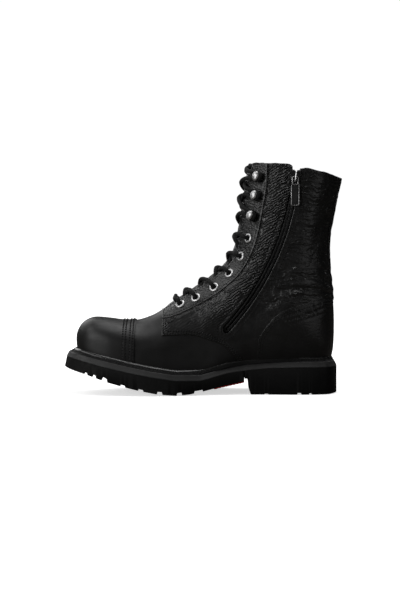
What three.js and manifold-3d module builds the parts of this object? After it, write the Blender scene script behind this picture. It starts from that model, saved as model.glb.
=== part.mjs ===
// Right-foot leather lace-up safety boot with a curved side zip.
// Millimetres, +Z up. The toe points to -X and the zip (inner) side of the foot faces -Y.
// The origin is the middle of the footprint, on the ground.

import * as THREE from 'three';
import { mergeVertices } from 'three/addons/utils/BufferGeometryUtils.js';
import Module from 'manifold-3d';

const wasm = await Module();
wasm.setup();

// ---------------------------------------------------------------- driving dimensions

const GAP = 0.3;                 // clearance left between pieces that touch on the real boot
const LEATHER = 1.6;             // thickness of the visible leather
const OVERLAY = 1.2;             // thickness of facings, counter and backstay
const INNER_LEATHER = 1.5;       // vamp, steel toe cap and heel stiffener
const LINING = 1.1;

// Depths below the base surface of the foot (positive = outside it).
const OVERLAY_IN = GAP;
const OVERLAY_OUT = OVERLAY_IN + OVERLAY;
const SHELL_IN = -LEATHER;
const INNER_OUT = SHELL_IN - GAP;
const INNER_IN = INNER_OUT - INNER_LEATHER;
const LINING_OUT = INNER_IN - GAP;
const LINING_IN = LINING_OUT - LINING;
const TONGUE_OUT = -9;
const TONGUE_IN = -10.8;

const BAND = 6.5;                // height of the bevelled midsole band
const BEVEL = 2.6;
const WELT = 3.6;                // thickness of the welt
const HEEL_BREAST = 46;          // x of the step between arch and heel
const LUG_DEPTH = 5;

const COLLAR_TOP = 256.5;
const LINING_SEAM = 112;         // height where heel lining meets the padded shaft lining
const TONGUE_TOP = 250;

const ZIP_CENTRE = new THREE.Vector2(-188, 270);
const ZIP_RADIUS = 291;          // the zip is an arc of this radius in the side view
const ZIP_TOP = -4.3;            // degrees below the horizontal through ZIP_CENTRE
const ZIP_END = -42.8;
const ZIP_FACE = -41;            // y of the flat leather on either side of the zip
const ZIP_FLAT = 23;             // half-width of that flat stretch
const ZIP_FADE = 42;             // where the flat has blended back into the foot
const SLIDER_ANGLE = -5.8;

const THROAT_FOOT = 15;          // half-width of the laced opening at the vamp
const THROAT_HEAD = 20.5;        // and at the collar
const THROAT_LENGTH = 205;

const EYELET_HOLE = 3.8;
const EYELET_SIDES = 10;
const LACE_RADIUS = 2.2;

// One cross-section of the foot per row, from the toe to just above the collar.
// A section stands on the line from its ridge point to its base point in the side view.
// ridge x, z | base x, z | middle y | inner, outer half-width | roundness of top, bottom
const SECTIONS = [
  [-142, 61, -142, 61, -6, 0, 0, 2.2, 2.6],
  [-139.6, 71.5, -139.8, 46, -6, 15, 15, 2.2, 2.6],
  [-133, 80, -133.5, 38, -6, 27, 26, 2.3, 3],
  [-122, 84.6, -122, 31.5, -5, 36, 34, 2.5, 3.6],
  [-106, 83.8, -105, 25, -4.5, 41.5, 40, 2.5, 4],
  [-88, 81.8, -86, 19.5, -4, 43.5, 45, 2.3, 4],
  [-70, 83.4, -65, 14, -3.5, 44, 49.5, 2, 4],
  [-52, 90.5, -42, 11, -3, 43.2, 52, 1.9, 4],
  [-34, 103, -15, 11, -2.5, 41, 50.5, 1.9, 3.8],
  [-14, 116.2, 15, 16, -2, 38.8, 47.5, 1.9, 3.4],
  [5, 129.2, 48, 23, -1.5, 39.5, 44, 1.9, 3],
  [20, 141.5, 85, 22, -1, 41.2, 42, 2, 2.8],
  [30, 154.3, 120, 22, -0.5, 42.4, 42, 2, 2.6],
  [35.6, 167.6, 143, 38, 0, 43.5, 42.5, 2.1, 2.5],
  [38.2, 181.5, 147, 75, 0, 42.7, 42.5, 2.2, 2.4],
  [40.6, 195.5, 145.5, 110, 0, 41.8, 42, 2.2, 2.3],
  [43, 210, 142.5, 145, 0, 41.4, 41.6, 2.2, 2.2],
  [45.2, 225, 142.5, 175, 0, 41, 41.4, 2.2, 2.2],
  [47.6, 240.5, 148.5, 208, 0, 41.4, 42, 2.2, 2.2],
  [50.2, 256.5, 155.2, 240, 0, 42, 43, 2.2, 2.2],
  [52, 268.5, 158, 253, 0, 42.4, 43.4, 2.2, 2.2],
];
const ROWS = 27;                 // facets along the foot
const SPOKES = 20;               // facets round it

// Outline of the sole seen from above: x, inner edge y, outer edge y.
const SOLE_TIP = [-155, -8];
const SOLE_EDGES = [
  [-149, -28, 13],
  [-136, -41, 28],
  [-115, -50, 40.5],
  [-90, -54.5, 49],
  [-60, -56.5, 54.8],
  [-30, -53.5, 56.5],
  [0, -45, 54.5],
  [30, -38.8, 48],
  [55, -37, 43],
  [80, -38, 40.5],
  [108, -39.5, 40],
  [129, -37, 37],
  [142, -29, 29],
];
const SOLE_HEEL = [150.5, 0];
const SOLE_STEPS = 28;

// Side-view lines of the bottom unit: x, z.
const SOLE_TOP = [
  [-155, 47.6], [-133.6, 44], [-112, 38.6], [-85, 32.3], [-58, 26.9], [-30, 22.4],
  [-3, 22], [28, 30.2], [50, 33.3], [72, 35.5], [104, 36.4], [152, 36.4],
];
const TREAD = [
  [-156, 29.8], [-130, 23], [-106, 14.8], [-88, 9.9], [-70, 5.5], [-50, 1.7],
  [-29, 0], [-14, 1.2], [1, 4.2], [20, 8.8], [48, 14.6],
];

// Side-view positions of the lacing hardware, from the toe upwards: x, z.
const EYELETS = [[-25.2, 99.1], [-7.8, 106.2], [12.5, 117.9], [29.5, 133.3], [42.4, 152.1], [50.6, 172.6]];
const HOOKS = [[57.4, 196.6], [61.4, 219], [63.6, 240]];

const SIDES = { medial: -1, lateral: 1 };

// ---------------------------------------------------------------- solids and booleans

function toSolid(geometry) {
  const bare = geometry.clone();
  for (const name of Object.keys(bare.attributes)) {
    if (name !== 'position') bare.deleteAttribute(name);
  }
  const merged = mergeVertices(bare, 1e-4);
  const corners = merged.index.array;
  const kept = [];
  for (let i = 0; i < corners.length; i += 3) {
    const [a, b, c] = corners.subarray(i, i + 3);
    if (a !== b && b !== c && c !== a) kept.push(a, b, c);
  }
  const vertProperties = merged.attributes.position.array;
  return new wasm.Manifold(new wasm.Mesh({ numProp: 3, vertProperties, triVerts: Uint32Array.from(kept) }));
}

function toGeometry(solid) {
  const { vertProperties, triVerts } = solid.getMesh();
  const geometry = new THREE.BufferGeometry();
  geometry.setAttribute('position', new THREE.BufferAttribute(vertProperties, 3));
  geometry.setIndex(new THREE.BufferAttribute(triVerts, 1));
  return geometry;
}

// A side-view outline (x, z) pushed through from y = from to y = to.
function prism(outline, from, to) {
  const shape = new THREE.Shape(outline.map(([x, z]) => new THREE.Vector2(x, z)));
  const geometry = new THREE.ExtrudeGeometry(shape, { depth: to - from, bevelEnabled: false });
  geometry.rotateX(Math.PI / 2);
  geometry.translate(0, to, 0);
  return toSolid(geometry);
}

function block(x0, x1, y0, y1, z0, z1) {
  return prism([[x0, z0], [x1, z0], [x1, z1], [x0, z1]], y0, y1);
}

// A quadrilateral grid of points, closed into a solid by the caller's faces.
function meshFrom(points, faces) {
  const geometry = new THREE.BufferGeometry();
  geometry.setAttribute('position', new THREE.Float32BufferAttribute(points.flatMap((p) => [p.x, p.y, p.z]), 3));
  geometry.setIndex(faces);
  return geometry;
}

// ---------------------------------------------------------------- curves

function hermite(a, b, c, d, t) {
  const slopeB = (c - a) / 2;
  const slopeC = (d - b) / 2;
  const t2 = t * t;
  const t3 = t2 * t;
  return (2 * t3 - 3 * t2 + 1) * b + (t3 - 2 * t2 + t) * slopeB + (3 * t2 - 2 * t3) * c + (t3 - t2) * slopeC;
}

// Height of a side-view line at x, straight from point to point.
function heightOn(line, x) {
  const after = Math.min(Math.max(line.findIndex(([px]) => px > x), 1), line.length - 1);
  const [x0, z0] = line[after - 1];
  const [x1, z1] = line[after];
  return z0 + ((z1 - z0) * (x - x0)) / (x1 - x0);
}

function smoothStep(from, to, value) {
  const t = THREE.MathUtils.clamp((value - from) / (to - from), 0, 1);
  return t * t * (3 - 2 * t);
}

// ---------------------------------------------------------------- base surface of the foot

// The section before the first is the second one upside down, so the toe closes smoothly.
function sectionRow(index) {
  if (index < 0) {
    const [rx, rz, bx, bz, middle, inner, outer, top, bottom] = SECTIONS[1];
    return [bx, bz, rx, rz, middle, -inner, -outer, top, bottom];
  }
  return SECTIONS[Math.min(index, SECTIONS.length - 1)];
}

function sectionAt(u) {
  const start = Math.min(Math.floor(u), SECTIONS.length - 2);
  const rows = [-1, 0, 1, 2].map((step) => sectionRow(start + step));
  const [ridgeX, ridgeZ, baseX, baseZ, middle, inner, outer, top, bottom] = rows[1].map((_, column) =>
    hermite(rows[0][column], rows[1][column], rows[2][column], rows[3][column], u - start));
  return { ridgeX, ridgeZ, baseX, baseZ, middle, inner, outer, top, bottom };
}

// How strongly a point of the inner side is pulled onto the flat that carries the zip.
function zipPull(x, z, sideways) {
  const radius = Math.hypot(x - ZIP_CENTRE.x, z - ZIP_CENTRE.y);
  const angle = THREE.MathUtils.radToDeg(Math.atan2(z - ZIP_CENTRE.y, x - ZIP_CENTRE.x));
  const across = 1 - smoothStep(ZIP_FLAT, ZIP_FADE, Math.abs(radius - ZIP_RADIUS));
  const below = smoothStep(ZIP_END - 18, ZIP_END - 4, angle);
  return across * below * smoothStep(0.45, 0.8, sideways);
}

// along: -1 at the ridge, 1 at the base. side: -1 inner, 1 outer.
function surfacePoint(u, along, side) {
  const s = sectionAt(u);
  const t = (along + 1) / 2;
  const x = s.ridgeX + (s.baseX - s.ridgeX) * t;
  const z = s.ridgeZ + (s.baseZ - s.ridgeZ) * t;
  const power = along < 0 ? s.top : s.bottom;
  const sideways = Math.max(0, 1 - Math.abs(along) ** power) ** (1 / power);
  const y = s.middle + side * sideways * (side < 0 ? s.inner : s.outer);
  if (side > 0) return new THREE.Vector3(x, y, z);
  return new THREE.Vector3(x, THREE.MathUtils.lerp(y, ZIP_FACE, zipPull(x, z, sideways)), z);
}

// Point of the surface at an angle round the section: 0 at the ridge, 90 degrees on the outer side.
function roundPoint(u, angle) {
  const s = sectionAt(u);
  const power = Math.cos(angle) > 0 ? s.top : s.bottom;
  const along = -Math.sign(Math.cos(angle)) * Math.abs(Math.cos(angle)) ** (2 / power);
  return surfacePoint(u, along, Math.sin(angle) < 0 ? -1 : 1);
}

const grid = [];
for (let row = 0; row <= ROWS; row += 1) {
  const u = ((SECTIONS.length - 1) * row) / ROWS;
  grid.push(Array.from({ length: SPOKES }, (_, spoke) => roundPoint(u, (2 * Math.PI * spoke) / SPOKES)));
}

const gridNormals = grid.map((ring, row) => ring.map((_, spoke) => {
  if (row === 0) return new THREE.Vector3(-1, 0, 0);
  const ahead = grid[Math.min(row + 1, ROWS)][spoke];
  const behind = grid[row - 1][spoke];
  const left = ring[(spoke + SPOKES - 1) % SPOKES];
  const right = ring[(spoke + 1) % SPOKES];
  const alongFoot = ahead.clone().sub(behind);
  const roundFoot = right.clone().sub(left);
  return alongFoot.cross(roundFoot).normalize();
}));

function offsetGrid(offset) {
  return grid.flatMap((ring, row) => ring.map((point, spoke) =>
    point.clone().addScaledVector(gridNormals[row][spoke], offset)));
}

function skinFaces(start, flipped) {
  const faces = [];
  for (let row = 0; row < ROWS; row += 1) {
    for (let spoke = 0; spoke < SPOKES; spoke += 1) {
      const a = start + row * SPOKES + spoke;
      const b = start + row * SPOKES + ((spoke + 1) % SPOKES);
      const c = b + SPOKES;
      const d = a + SPOKES;
      if (flipped) faces.push(a, b, c, a, c, d);
      else faces.push(a, c, b, a, d, c);
    }
  }
  return faces;
}

// Everything inside the foot surface at this offset.
function footCore(offset) {
  const points = offsetGrid(offset);
  const faces = skinFaces(0, false);
  const last = ROWS * SPOKES;
  for (let spoke = 1; spoke < SPOKES - 1; spoke += 1) faces.push(last, last + spoke + 1, last + spoke);
  return toSolid(meshFrom(points, faces));
}

// The wall between two offsets of the foot surface, open at the collar.
function footWall(outside, inside) {
  const points = [...offsetGrid(outside), ...offsetGrid(inside)];
  const inner = (ROWS + 1) * SPOKES;
  const faces = [...skinFaces(0, false), ...skinFaces(inner, true)];
  const last = ROWS * SPOKES;
  for (let spoke = 0; spoke < SPOKES; spoke += 1) {
    const next = (spoke + 1) % SPOKES;
    faces.push(last + spoke, inner + last + next, last + next);
    faces.push(last + spoke, inner + last + spoke, inner + last + next);
  }
  return toSolid(meshFrom(points, faces));
}

// ---------------------------------------------------------------- bottom unit

const soleCurve = new THREE.CatmullRomCurve3([
  SOLE_TIP,
  ...SOLE_EDGES.map(([x, inner]) => [x, inner]),
  SOLE_HEEL,
  ...SOLE_EDGES.map(([x, , outer]) => [x, outer]).reverse(),
].map(([x, y]) => new THREE.Vector3(x, y, 0)), true, 'catmullrom', 0.5);

// Point of the sole edge, step from 0 at the toe to SOLE_STEPS at the heel, moved in by inset.
function solePoint(step, side, inset, height) {
  const t = step / SOLE_STEPS / 2;
  const place = (side < 0 ? t : 1 - t) % 1;
  const edge = soleCurve.getPoint(place);
  const way = soleCurve.getTangent(place);
  const x = edge.x - way.y * inset;
  return new THREE.Vector3(x, edge.y + way.x * inset, height(x));
}

// A slab with the outline of the sole: each level has its own inset and side-view line.
function soleSlab(levels) {
  const points = [];
  for (let step = 0; step <= SOLE_STEPS; step += 1) {
    for (const { inset, height } of levels) {
      points.push(solePoint(step, -1, inset, height), solePoint(step, 1, inset, height));
    }
  }
  const stride = levels.length * 2;
  const faces = [];
  const quad = (a, b, c, d) => faces.push(a, b, c, a, c, d);
  for (let step = 0; step < SOLE_STEPS; step += 1) {
    const near = step * stride;
    const far = near + stride;
    const top = stride - 2;
    quad(near, near + 1, far + 1, far);
    quad(near + top, far + top, far + top + 1, near + top + 1);
    for (let level = 0; level < top; level += 2) {
      quad(near + level, far + level, far + level + 2, near + level + 2);
      quad(near + level + 1, near + level + 3, far + level + 3, far + level + 1);
    }
  }
  return toSolid(meshFrom(points, faces));
}

const soleTop = (x) => heightOn(SOLE_TOP, x);
const tread = (x) => heightOn(TREAD, x);
const bandFoot = (x) => soleTop(x) - BAND;

// Notches cut into the tread from both edges: x, width.
function notches(places, floor) {
  const cuts = places.flatMap(([x, width]) => [-1, 1].map((side) => {
    const [from, to] = side < 0 ? [-80, -26] : [26, 80];
    return block(x - width / 2, x + width / 2, from, to, -5, floor(x) + LUG_DEPTH);
  }));
  return wasm.Manifold.union(cuts);
}

function archRecess() {
  const hollow = soleSlab([
    { inset: 3, height: (x) => tread(x) - 6 },
    { inset: 3, height: (x) => tread(x) + 2 },
  ]);
  return hollow.intersect(block(12, 60, -80, 80, -10, 60));
}

function makeForefootSole() {
  const slab = soleSlab([
    { inset: 1.6, height: tread },
    { inset: 0.2, height: (x) => Math.min(tread(x) + LUG_DEPTH, bandFoot(x) - 2 * GAP) },
    { inset: 0, height: (x) => bandFoot(x) - GAP },
  ]);
  const lugs = [[-129, 4], [-119, 4], [-108, 5], [-88, 4.5], [-68, 5], [-47.5, 5], [-26, 5], [-4, 8]];
  return slab
    .intersect(block(-170, HEEL_BREAST - GAP, -80, 80, -5, 80))
    .subtract(notches(lugs, tread))
    .subtract(archRecess());
}

function makeArchInsert() {
  const strip = soleSlab([
    { inset: 3.4, height: (x) => tread(x) + 0.1 },
    { inset: 3.4, height: (x) => tread(x) + 2 - GAP },
  ]);
  return strip.intersect(block(12.4, HEEL_BREAST - GAP, -80, 80, -10, 60));
}

function makeHeel() {
  const slab = soleSlab([
    { inset: 1.2, height: () => 0 },
    { inset: 0, height: (x) => bandFoot(x) - GAP },
  ]);
  const breast = [[HEEL_BREAST, 60], [HEEL_BREAST, 16.8], [51.5, 15.6], [53, -5], [170, -5], [170, 60]];
  return slab
    .intersect(prism(breast, -80, 80))
    .subtract(notches([[106, 5], [119, 5]], () => -1));
}

function makeMidsole() {
  return soleSlab([
    { inset: 0, height: bandFoot },
    { inset: BEVEL, height: soleTop },
  ]);
}

function makeWelt() {
  const strip = soleSlab([
    { inset: BEVEL + 0.4, height: (x) => soleTop(x) + GAP },
    { inset: BEVEL + 0.6, height: (x) => soleTop(x) + WELT },
  ]);
  return strip.subtract(footCore(GAP));
}

// Layers inside the upper, stacked on the midsole.
function makeInnerSlab(low, high, clear) {
  const slab = soleSlab([
    { inset: 2, height: (x) => soleTop(x) + low },
    { inset: 2, height: (x) => soleTop(x) + high },
  ]);
  return slab.intersect(footCore(clear));
}

const FILLER_LOW = GAP;
const FILLER_HIGH = FILLER_LOW + 2;
const BOARD_LOW = FILLER_HIGH + GAP;
const BOARD_HIGH = BOARD_LOW + 2;
const FOOTBED_LOW = BOARD_HIGH + GAP;
const FOOTBED_HIGH = FOOTBED_LOW + 4;

function makeCorkFiller() {
  return makeInnerSlab(FILLER_LOW, FILLER_HIGH, LINING_IN - 4).intersect(block(-160, -40, -80, 80, 0, 90));
}

function makeShank() {
  return makeInnerSlab(FILLER_LOW, FILLER_HIGH, LINING_IN - 4).intersect(block(-38, 92, -9, 9, 0, 90));
}

// ---------------------------------------------------------------- upper

// Space that leather may fill: above the midsole and below the collar line.
const UPPER_FOOT = 0.8;
const upperSpace = prism([
  ...SOLE_TOP.map(([x, z]) => [x, z + UPPER_FOOT]),
  [175, 37.2], [175, 239.5], [154.9, 239.6], [146.7, 242.1], [136, 245.3], [125, 247.6], [114, 250],
  [100, 249.4], [95.2, 254.5], [80, 255], [54, COLLAR_TOP], [-20, COLLAR_TOP], [-170, 120], [-170, 49],
], -90, 90);

// Stitching line behind the facing, from the throat to the collar.
const FACING_SEAM = [
  [-45.9, 84], [-35.8, 85.3], [-20.2, 91.6], [-4.5, 99.5], [11.4, 108.9], [25.5, 119.2], [38.9, 131.7],
  [48.3, 145.8], [54.7, 159.2], [58.6, 170.2], [63.1, 189], [66.3, 207.3], [69.4, 225.7], [71, 253.3],
];
const IN_FRONT_OF_FACING = [[72, 275], [20, 275], [-45.9, 150]];

// Lower front edge of the quarters, from the corner beside the throat to the sole.
const QUARTER_EDGE = [
  [-45.9, 65.6], [-16.5, 66.1], [-4.5, 64.1], [3.4, 61.4], [11.2, 58.8], [21.3, 54.7], [27.9, 48], [39, 36], [46, 20],
];

function halfSpace(side) {
  return side < 0 ? block(-200, 200, -90, -GAP / 2, -10, 300) : block(-200, 200, GAP / 2, 90, -10, 300);
}

// The laced opening runs straight up from its foot, seen square to this slope.
const THROAT_START = new THREE.Vector3(-45, 0, 93);
const THROAT_WAY = new THREE.Vector3(0.508, 0, 0.861);

// A wedge along the ridge from the vamp to the collar: half-width at its foot and at its head.
function throatWedge(footWidth, headWidth, start) {
  const shape = new THREE.Shape([
    new THREE.Vector2(start, -footWidth),
    new THREE.Vector2(THROAT_LENGTH, -headWidth),
    new THREE.Vector2(THROAT_LENGTH, headWidth),
    new THREE.Vector2(start, footWidth),
  ]);
  const geometry = new THREE.ExtrudeGeometry(shape, { depth: 110, bevelEnabled: false });
  geometry.translate(0, 0, -65);
  const across = new THREE.Vector3(0, 1, 0);
  geometry.applyMatrix4(new THREE.Matrix4().makeBasis(THROAT_WAY, across, THROAT_WAY.clone().cross(across)));
  geometry.translate(THROAT_START.x, 0, THROAT_START.z);
  return toSolid(geometry);
}

// Side-view band along the zip between two distances from its middle line.
function zipBand(fromRadius, toRadius, fromAngle, toAngle) {
  const steps = Math.ceil(Math.abs(toAngle - fromAngle) / 3);
  const arc = (radius, step) => {
    const angle = THREE.MathUtils.degToRad(fromAngle + ((toAngle - fromAngle) * step) / steps);
    return [ZIP_CENTRE.x + radius * Math.cos(angle), ZIP_CENTRE.y + radius * Math.sin(angle)];
  };
  const stepsUp = Array.from({ length: steps + 1 }, (_, step) => step);
  return [
    ...stepsUp.map((step) => arc(ZIP_RADIUS + toRadius, step)),
    ...stepsUp.reverse().map((step) => arc(ZIP_RADIUS + fromRadius, step)),
  ];
}

function zipSlot(halfWidth) {
  return prism(zipBand(-halfWidth, halfWidth, ZIP_END - 0.6 - (halfWidth - 4) / 8, 0), -70, -20);
}

const shell = footWall(0, SHELL_IN).intersect(upperSpace);
const overlay = footWall(OVERLAY_OUT, OVERLAY_IN).intersect(upperSpace);
const innerLayer = footWall(INNER_OUT, INNER_IN).intersect(upperSpace);
const liningLayer = footWall(LINING_OUT, LINING_IN).intersect(upperSpace);
const throat = throatWedge(THROAT_FOOT, THROAT_HEAD, 0);
const facingArea = prism([...FACING_SEAM, ...IN_FRONT_OF_FACING], -90, 90);

const TOE_SEAM = [[-74.5, 110], [-74.5, 84], [-76.2, 20]];

function makeToeCap() {
  return shell.intersect(prism([...TOE_SEAM, [-170, 20], [-170, 110]], -90, 90));
}

function makeSteelToe() {
  return innerLayer.intersect(block(-170, -94, -90, 90, 10, 110));
}

function makeVamp() {
  const outline = [
    [-93.4, 10], [-93.4, 110], [-40, 110], [-40, 96], [-28, 86], [0, 72], [24, 58], [52, 36], [54, 10],
  ];
  return innerLayer.intersect(prism(outline, -90, 90)).subtract(zipSlot(14));
}

function makeVampLining() {
  const outline = [[-170, 10], [-170, 120], [-44, 120], [-44, 98], [-28, 84], [0, 72], [10, 64], [10, 10]];
  return liningLayer.intersect(prism(outline, -90, 90)).subtract(zipSlot(14));
}

function makeQuarter(side, holes) {
  const outline = [...QUARTER_EDGE, [180, 20], [180, 275], [20, 275], [-45.9, 140]];
  const panel = shell.intersect(prism(outline, -90, 90)).intersect(halfSpace(side)).subtract(throat);
  const punched = panel.subtract(holes);
  return side < 0 ? punched.subtract(zipSlot(4)) : punched;
}

const facingAndSeam = prism([...FACING_SEAM.map(([x, z]) => [x + 1, z - 1]), ...IN_FRONT_OF_FACING], -90, 90);

// The shaft lining is padded, so it fills the depth that vamp and stiffener take lower down.
// The zip parts it into a strip in front of the zip and the rest of the shaft.
function makeShaftLinings() {
  const padded = footWall(INNER_OUT, LINING_IN)
    .intersect(upperSpace)
    .intersect(block(0, 180, -90, 90, LINING_SEAM, 275))
    .subtract(facingAndSeam)
    .subtract(zipSlot(14));
  const inFrontOfZip = prism(zipBand(-100, 0, ZIP_END, 0), -90, -5);
  return { front: padded.intersect(inFrontOfZip), rear: padded.subtract(inFrontOfZip) };
}

function makeHeelLining() {
  const outline = [
    [10.4, 10], [10.4, 64.5], [0.6, 72.4], [-28, 84.5], [-28, LINING_SEAM - GAP], [180, LINING_SEAM - GAP], [180, 10],
  ];
  return liningLayer.intersect(prism(outline, -90, 90)).subtract(facingAndSeam).subtract(zipSlot(14));
}

function makeFacing(side, holes) {
  return overlay.intersect(facingArea).intersect(halfSpace(side)).subtract(throat).subtract(holes);
}

const COUNTER_EDGE = [
  [59.9, 10], [59.9, 46], [61.5, 62], [70, 76], [80, 87], [92, 94.6], [108.6, 99.7], [131, 104.7], [180, 108],
];

function makeCounter() {
  const aboveWelt = prism([
    ...SOLE_TOP.map(([x, z]) => [x, z + WELT + GAP]), [190, 45], [190, 150], [-170, 150],
  ], -90, 90);
  return overlay.intersect(prism([...COUNTER_EDGE, [180, 10]], -90, 90)).intersect(aboveWelt);
}

function makeStiffener() {
  return innerLayer.intersect(prism([[74, 10], [74, 80], [88, 100], [112, 105], [180, 108], [180, 10]], -90, 90));
}

function makeBackstay() {
  const strip = block(110, 180, -16, 16, 100, 275);
  const aboveCounter = prism([...COUNTER_EDGE.map(([x, z]) => [x, z + 0.4]), [190, 108.4], [190, 275], [40, 275]], -90, 90);
  return overlay.intersect(strip).intersect(aboveCounter);
}

function makeTongue() {
  const sheet = footWall(TONGUE_OUT, TONGUE_IN).intersect(throatWedge(THROAT_FOOT + 7, THROAT_HEAD + 7, -18));
  return sheet.intersect(block(-90, 120, -60, 60, 40, TONGUE_TOP));
}

// ---------------------------------------------------------------- lacing hardware

// Where the side-view point (x, z) lies on one side of the foot, with the surface directions there.
function sectionThrough(x, z) {
  const miss = (u) => {
    const s = sectionAt(u);
    return (s.baseX - s.ridgeX) * (z - s.ridgeZ) - (s.baseZ - s.ridgeZ) * (x - s.ridgeX);
  };
  let low = 5;
  let high = SECTIONS.length - 1;
  const rising = miss(high) > miss(low);
  for (let i = 0; i < 40; i += 1) {
    const middle = (low + high) / 2;
    if (miss(middle) > 0 === rising) high = middle;
    else low = middle;
  }
  const s = sectionAt(low);
  const length = Math.hypot(s.baseX - s.ridgeX, s.baseZ - s.ridgeZ);
  return { u: low, along: (2 * Math.hypot(x - s.ridgeX, z - s.ridgeZ)) / length - 1 };
}

function seatAt(u, along, side) {
  const at = (du, da) => surfacePoint(u + du, along + da, side);
  const place = at(0, 0);
  const upFoot = at(0.05, 0).sub(at(-0.05, 0)).normalize();
  const roundFoot = at(0, 0.01).sub(at(0, -0.01)).normalize();
  const out = upFoot.clone().cross(roundFoot).multiplyScalar(side).normalize();
  if (out.y * side < 0) out.negate();
  const toThroat = roundFoot.clone().negate();
  const up = new THREE.Vector3().crossVectors(out, toThroat);
  if (up.z < 0) up.negate();
  return { u, side, place, out, toThroat, up };
}

function seat([x, z], side) {
  const { u, along } = sectionThrough(x, z);
  return seatAt(u, along, side);
}

// Where the edge of the laced opening crosses the section at u.
function throatEdge(u, side) {
  let low = -0.999;
  let high = -0.2;
  for (let i = 0; i < 30; i += 1) {
    const middle = (low + high) / 2;
    const point = surfacePoint(u, middle, side);
    const share = point.clone().sub(THROAT_START).dot(THROAT_WAY) / THROAT_LENGTH;
    if (Math.abs(point.y) > THREE.MathUtils.lerp(THROAT_FOOT, THROAT_HEAD, share)) high = middle;
    else low = middle;
  }
  return seatAt(u, low, side);
}

// A point near a seat, moved out of the surface, towards the throat and up the foot.
function near(spot, out, toThroat = 0, up = 0) {
  return spot.place.clone()
    .addScaledVector(spot.out, out)
    .addScaledVector(spot.toThroat, toThroat)
    .addScaledVector(spot.up, up);
}

function turnOut(geometry, spot) {
  const turn = new THREE.Matrix4().makeBasis(spot.toThroat, spot.out, new THREE.Vector3().crossVectors(spot.toThroat, spot.out));
  geometry.applyMatrix4(turn);
  geometry.translate(spot.place.x, spot.place.y, spot.place.z);
  return geometry;
}

function ringAround(profile, segments) {
  return new THREE.LatheGeometry(profile.map(([r, y]) => new THREE.Vector2(r, y)), segments);
}

const METAL_SEAT = OVERLAY_OUT + 2 * GAP;
const EYELET_TOP = METAL_SEAT + 0.8;
const eyeletProfile = [
  [2.9, -2.8], [4.7, -3.4], [4.7, -3], [3.4, -2.4], [3.4, METAL_SEAT],
  [5.5, METAL_SEAT], [5.2, EYELET_TOP], [2.9, EYELET_TOP], [2.9, -2.8],
];

function makeEyelet(spot) {
  return toSolid(turnOut(ringAround(eyeletProfile, EYELET_SIDES), spot));
}

const HOOK_FOOT = METAL_SEAT;
const HOOK_GRIP = HOOK_FOOT + 1 + 5.2;   // underside of the dome

function makeHook(spot) {
  const foot = ringAround([[0, HOOK_FOOT], [4.4, HOOK_FOOT], [4.4, HOOK_FOOT + 1], [0, HOOK_FOOT + 1]], 10);
  const stem = ringAround([[0, HOOK_FOOT + 0.5], [1.3, HOOK_FOOT + 0.5], [1.3, HOOK_GRIP + 0.6], [0, HOOK_GRIP + 0.6]], 6);
  const dome = ringAround([[0, HOOK_GRIP], [4, HOOK_GRIP], [4.6, HOOK_GRIP + 0.7], [3.2, HOOK_GRIP + 1.9], [0, HOOK_GRIP + 2.5]], 10);
  dome.translate(2.4, 0, 0);
  return [foot, stem, dome].map((piece) => toSolid(turnOut(piece, spot))).reduce((a, b) => a.add(b));
}

// The hole for an eyelet, widened where its two flanges clamp the leather.
const punchProfile = [
  [0, -8], [5.1, -8], [5.1, -2.2], [EYELET_HOLE, -2.2], [EYELET_HOLE, METAL_SEAT - 0.2],
  [6.1, METAL_SEAT - 0.2], [6.1, 8], [0, 8],
];

function holePunch(spot) {
  return toSolid(turnOut(ringAround(punchProfile, EYELET_SIDES), spot));
}

const eyeletSeats = EYELETS.map((place) => ({ medial: seat(place, -1), lateral: seat(place, 1) }));
const hookSeats = HOOKS.map((place) => ({ medial: seat(place, -1), lateral: seat(place, 1) }));

// ---------------------------------------------------------------- lace

// Middle of the throat between two seats, at a height above the ridge.
function throatMiddle(u, height) {
  const ahead = surfacePoint(u + 0.05, -1, 1);
  const behind = surfacePoint(u - 0.05, -1, 1);
  const way = ahead.clone().sub(behind).normalize();
  return surfacePoint(u, -1, 1).add(new THREE.Vector3(-way.z, 0, way.x).multiplyScalar(height));
}

const LACE_OVER = METAL_SEAT + LACE_RADIUS + 0.9;   // lace lying on the facing
const LACE_UNDER = -6;                             // lace running behind it
const CROSS_LOW = -2.4;
const CROSS_HIGH = 2.8;

// reach: how far up the foot the lace crosses the edge of the throat, before and after this stop.
function throughEyelet(spot, reach) {
  return [
    near(throatEdge(spot.u - reach, spot.side), LACE_OVER),
    near(spot, LACE_OVER + 0.9, 2.6),
    near(spot, 2.8),
    near(spot, -3),
    near(spot, LACE_UNDER - 0.3, 2.6, 1),
    near(throatEdge(spot.u + reach, spot.side), LACE_UNDER + 0.6),
  ];
}

function roundHook(spot, reach) {
  const over = HOOK_FOOT + 1 + GAP + LACE_RADIUS;
  const wrap = 1.3 + GAP + LACE_RADIUS;
  return [
    near(throatEdge(spot.u - reach, spot.side), LACE_OVER),
    near(spot, over, 1.5, -wrap),
    near(spot, over, -wrap + 0.6, -wrap + 1.6),
    near(spot, over, -wrap + 0.6, wrap - 1.6),
    near(spot, over, 1.5, wrap),
    near(throatEdge(spot.u + reach, spot.side), LACE_OVER),
  ];
}

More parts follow.
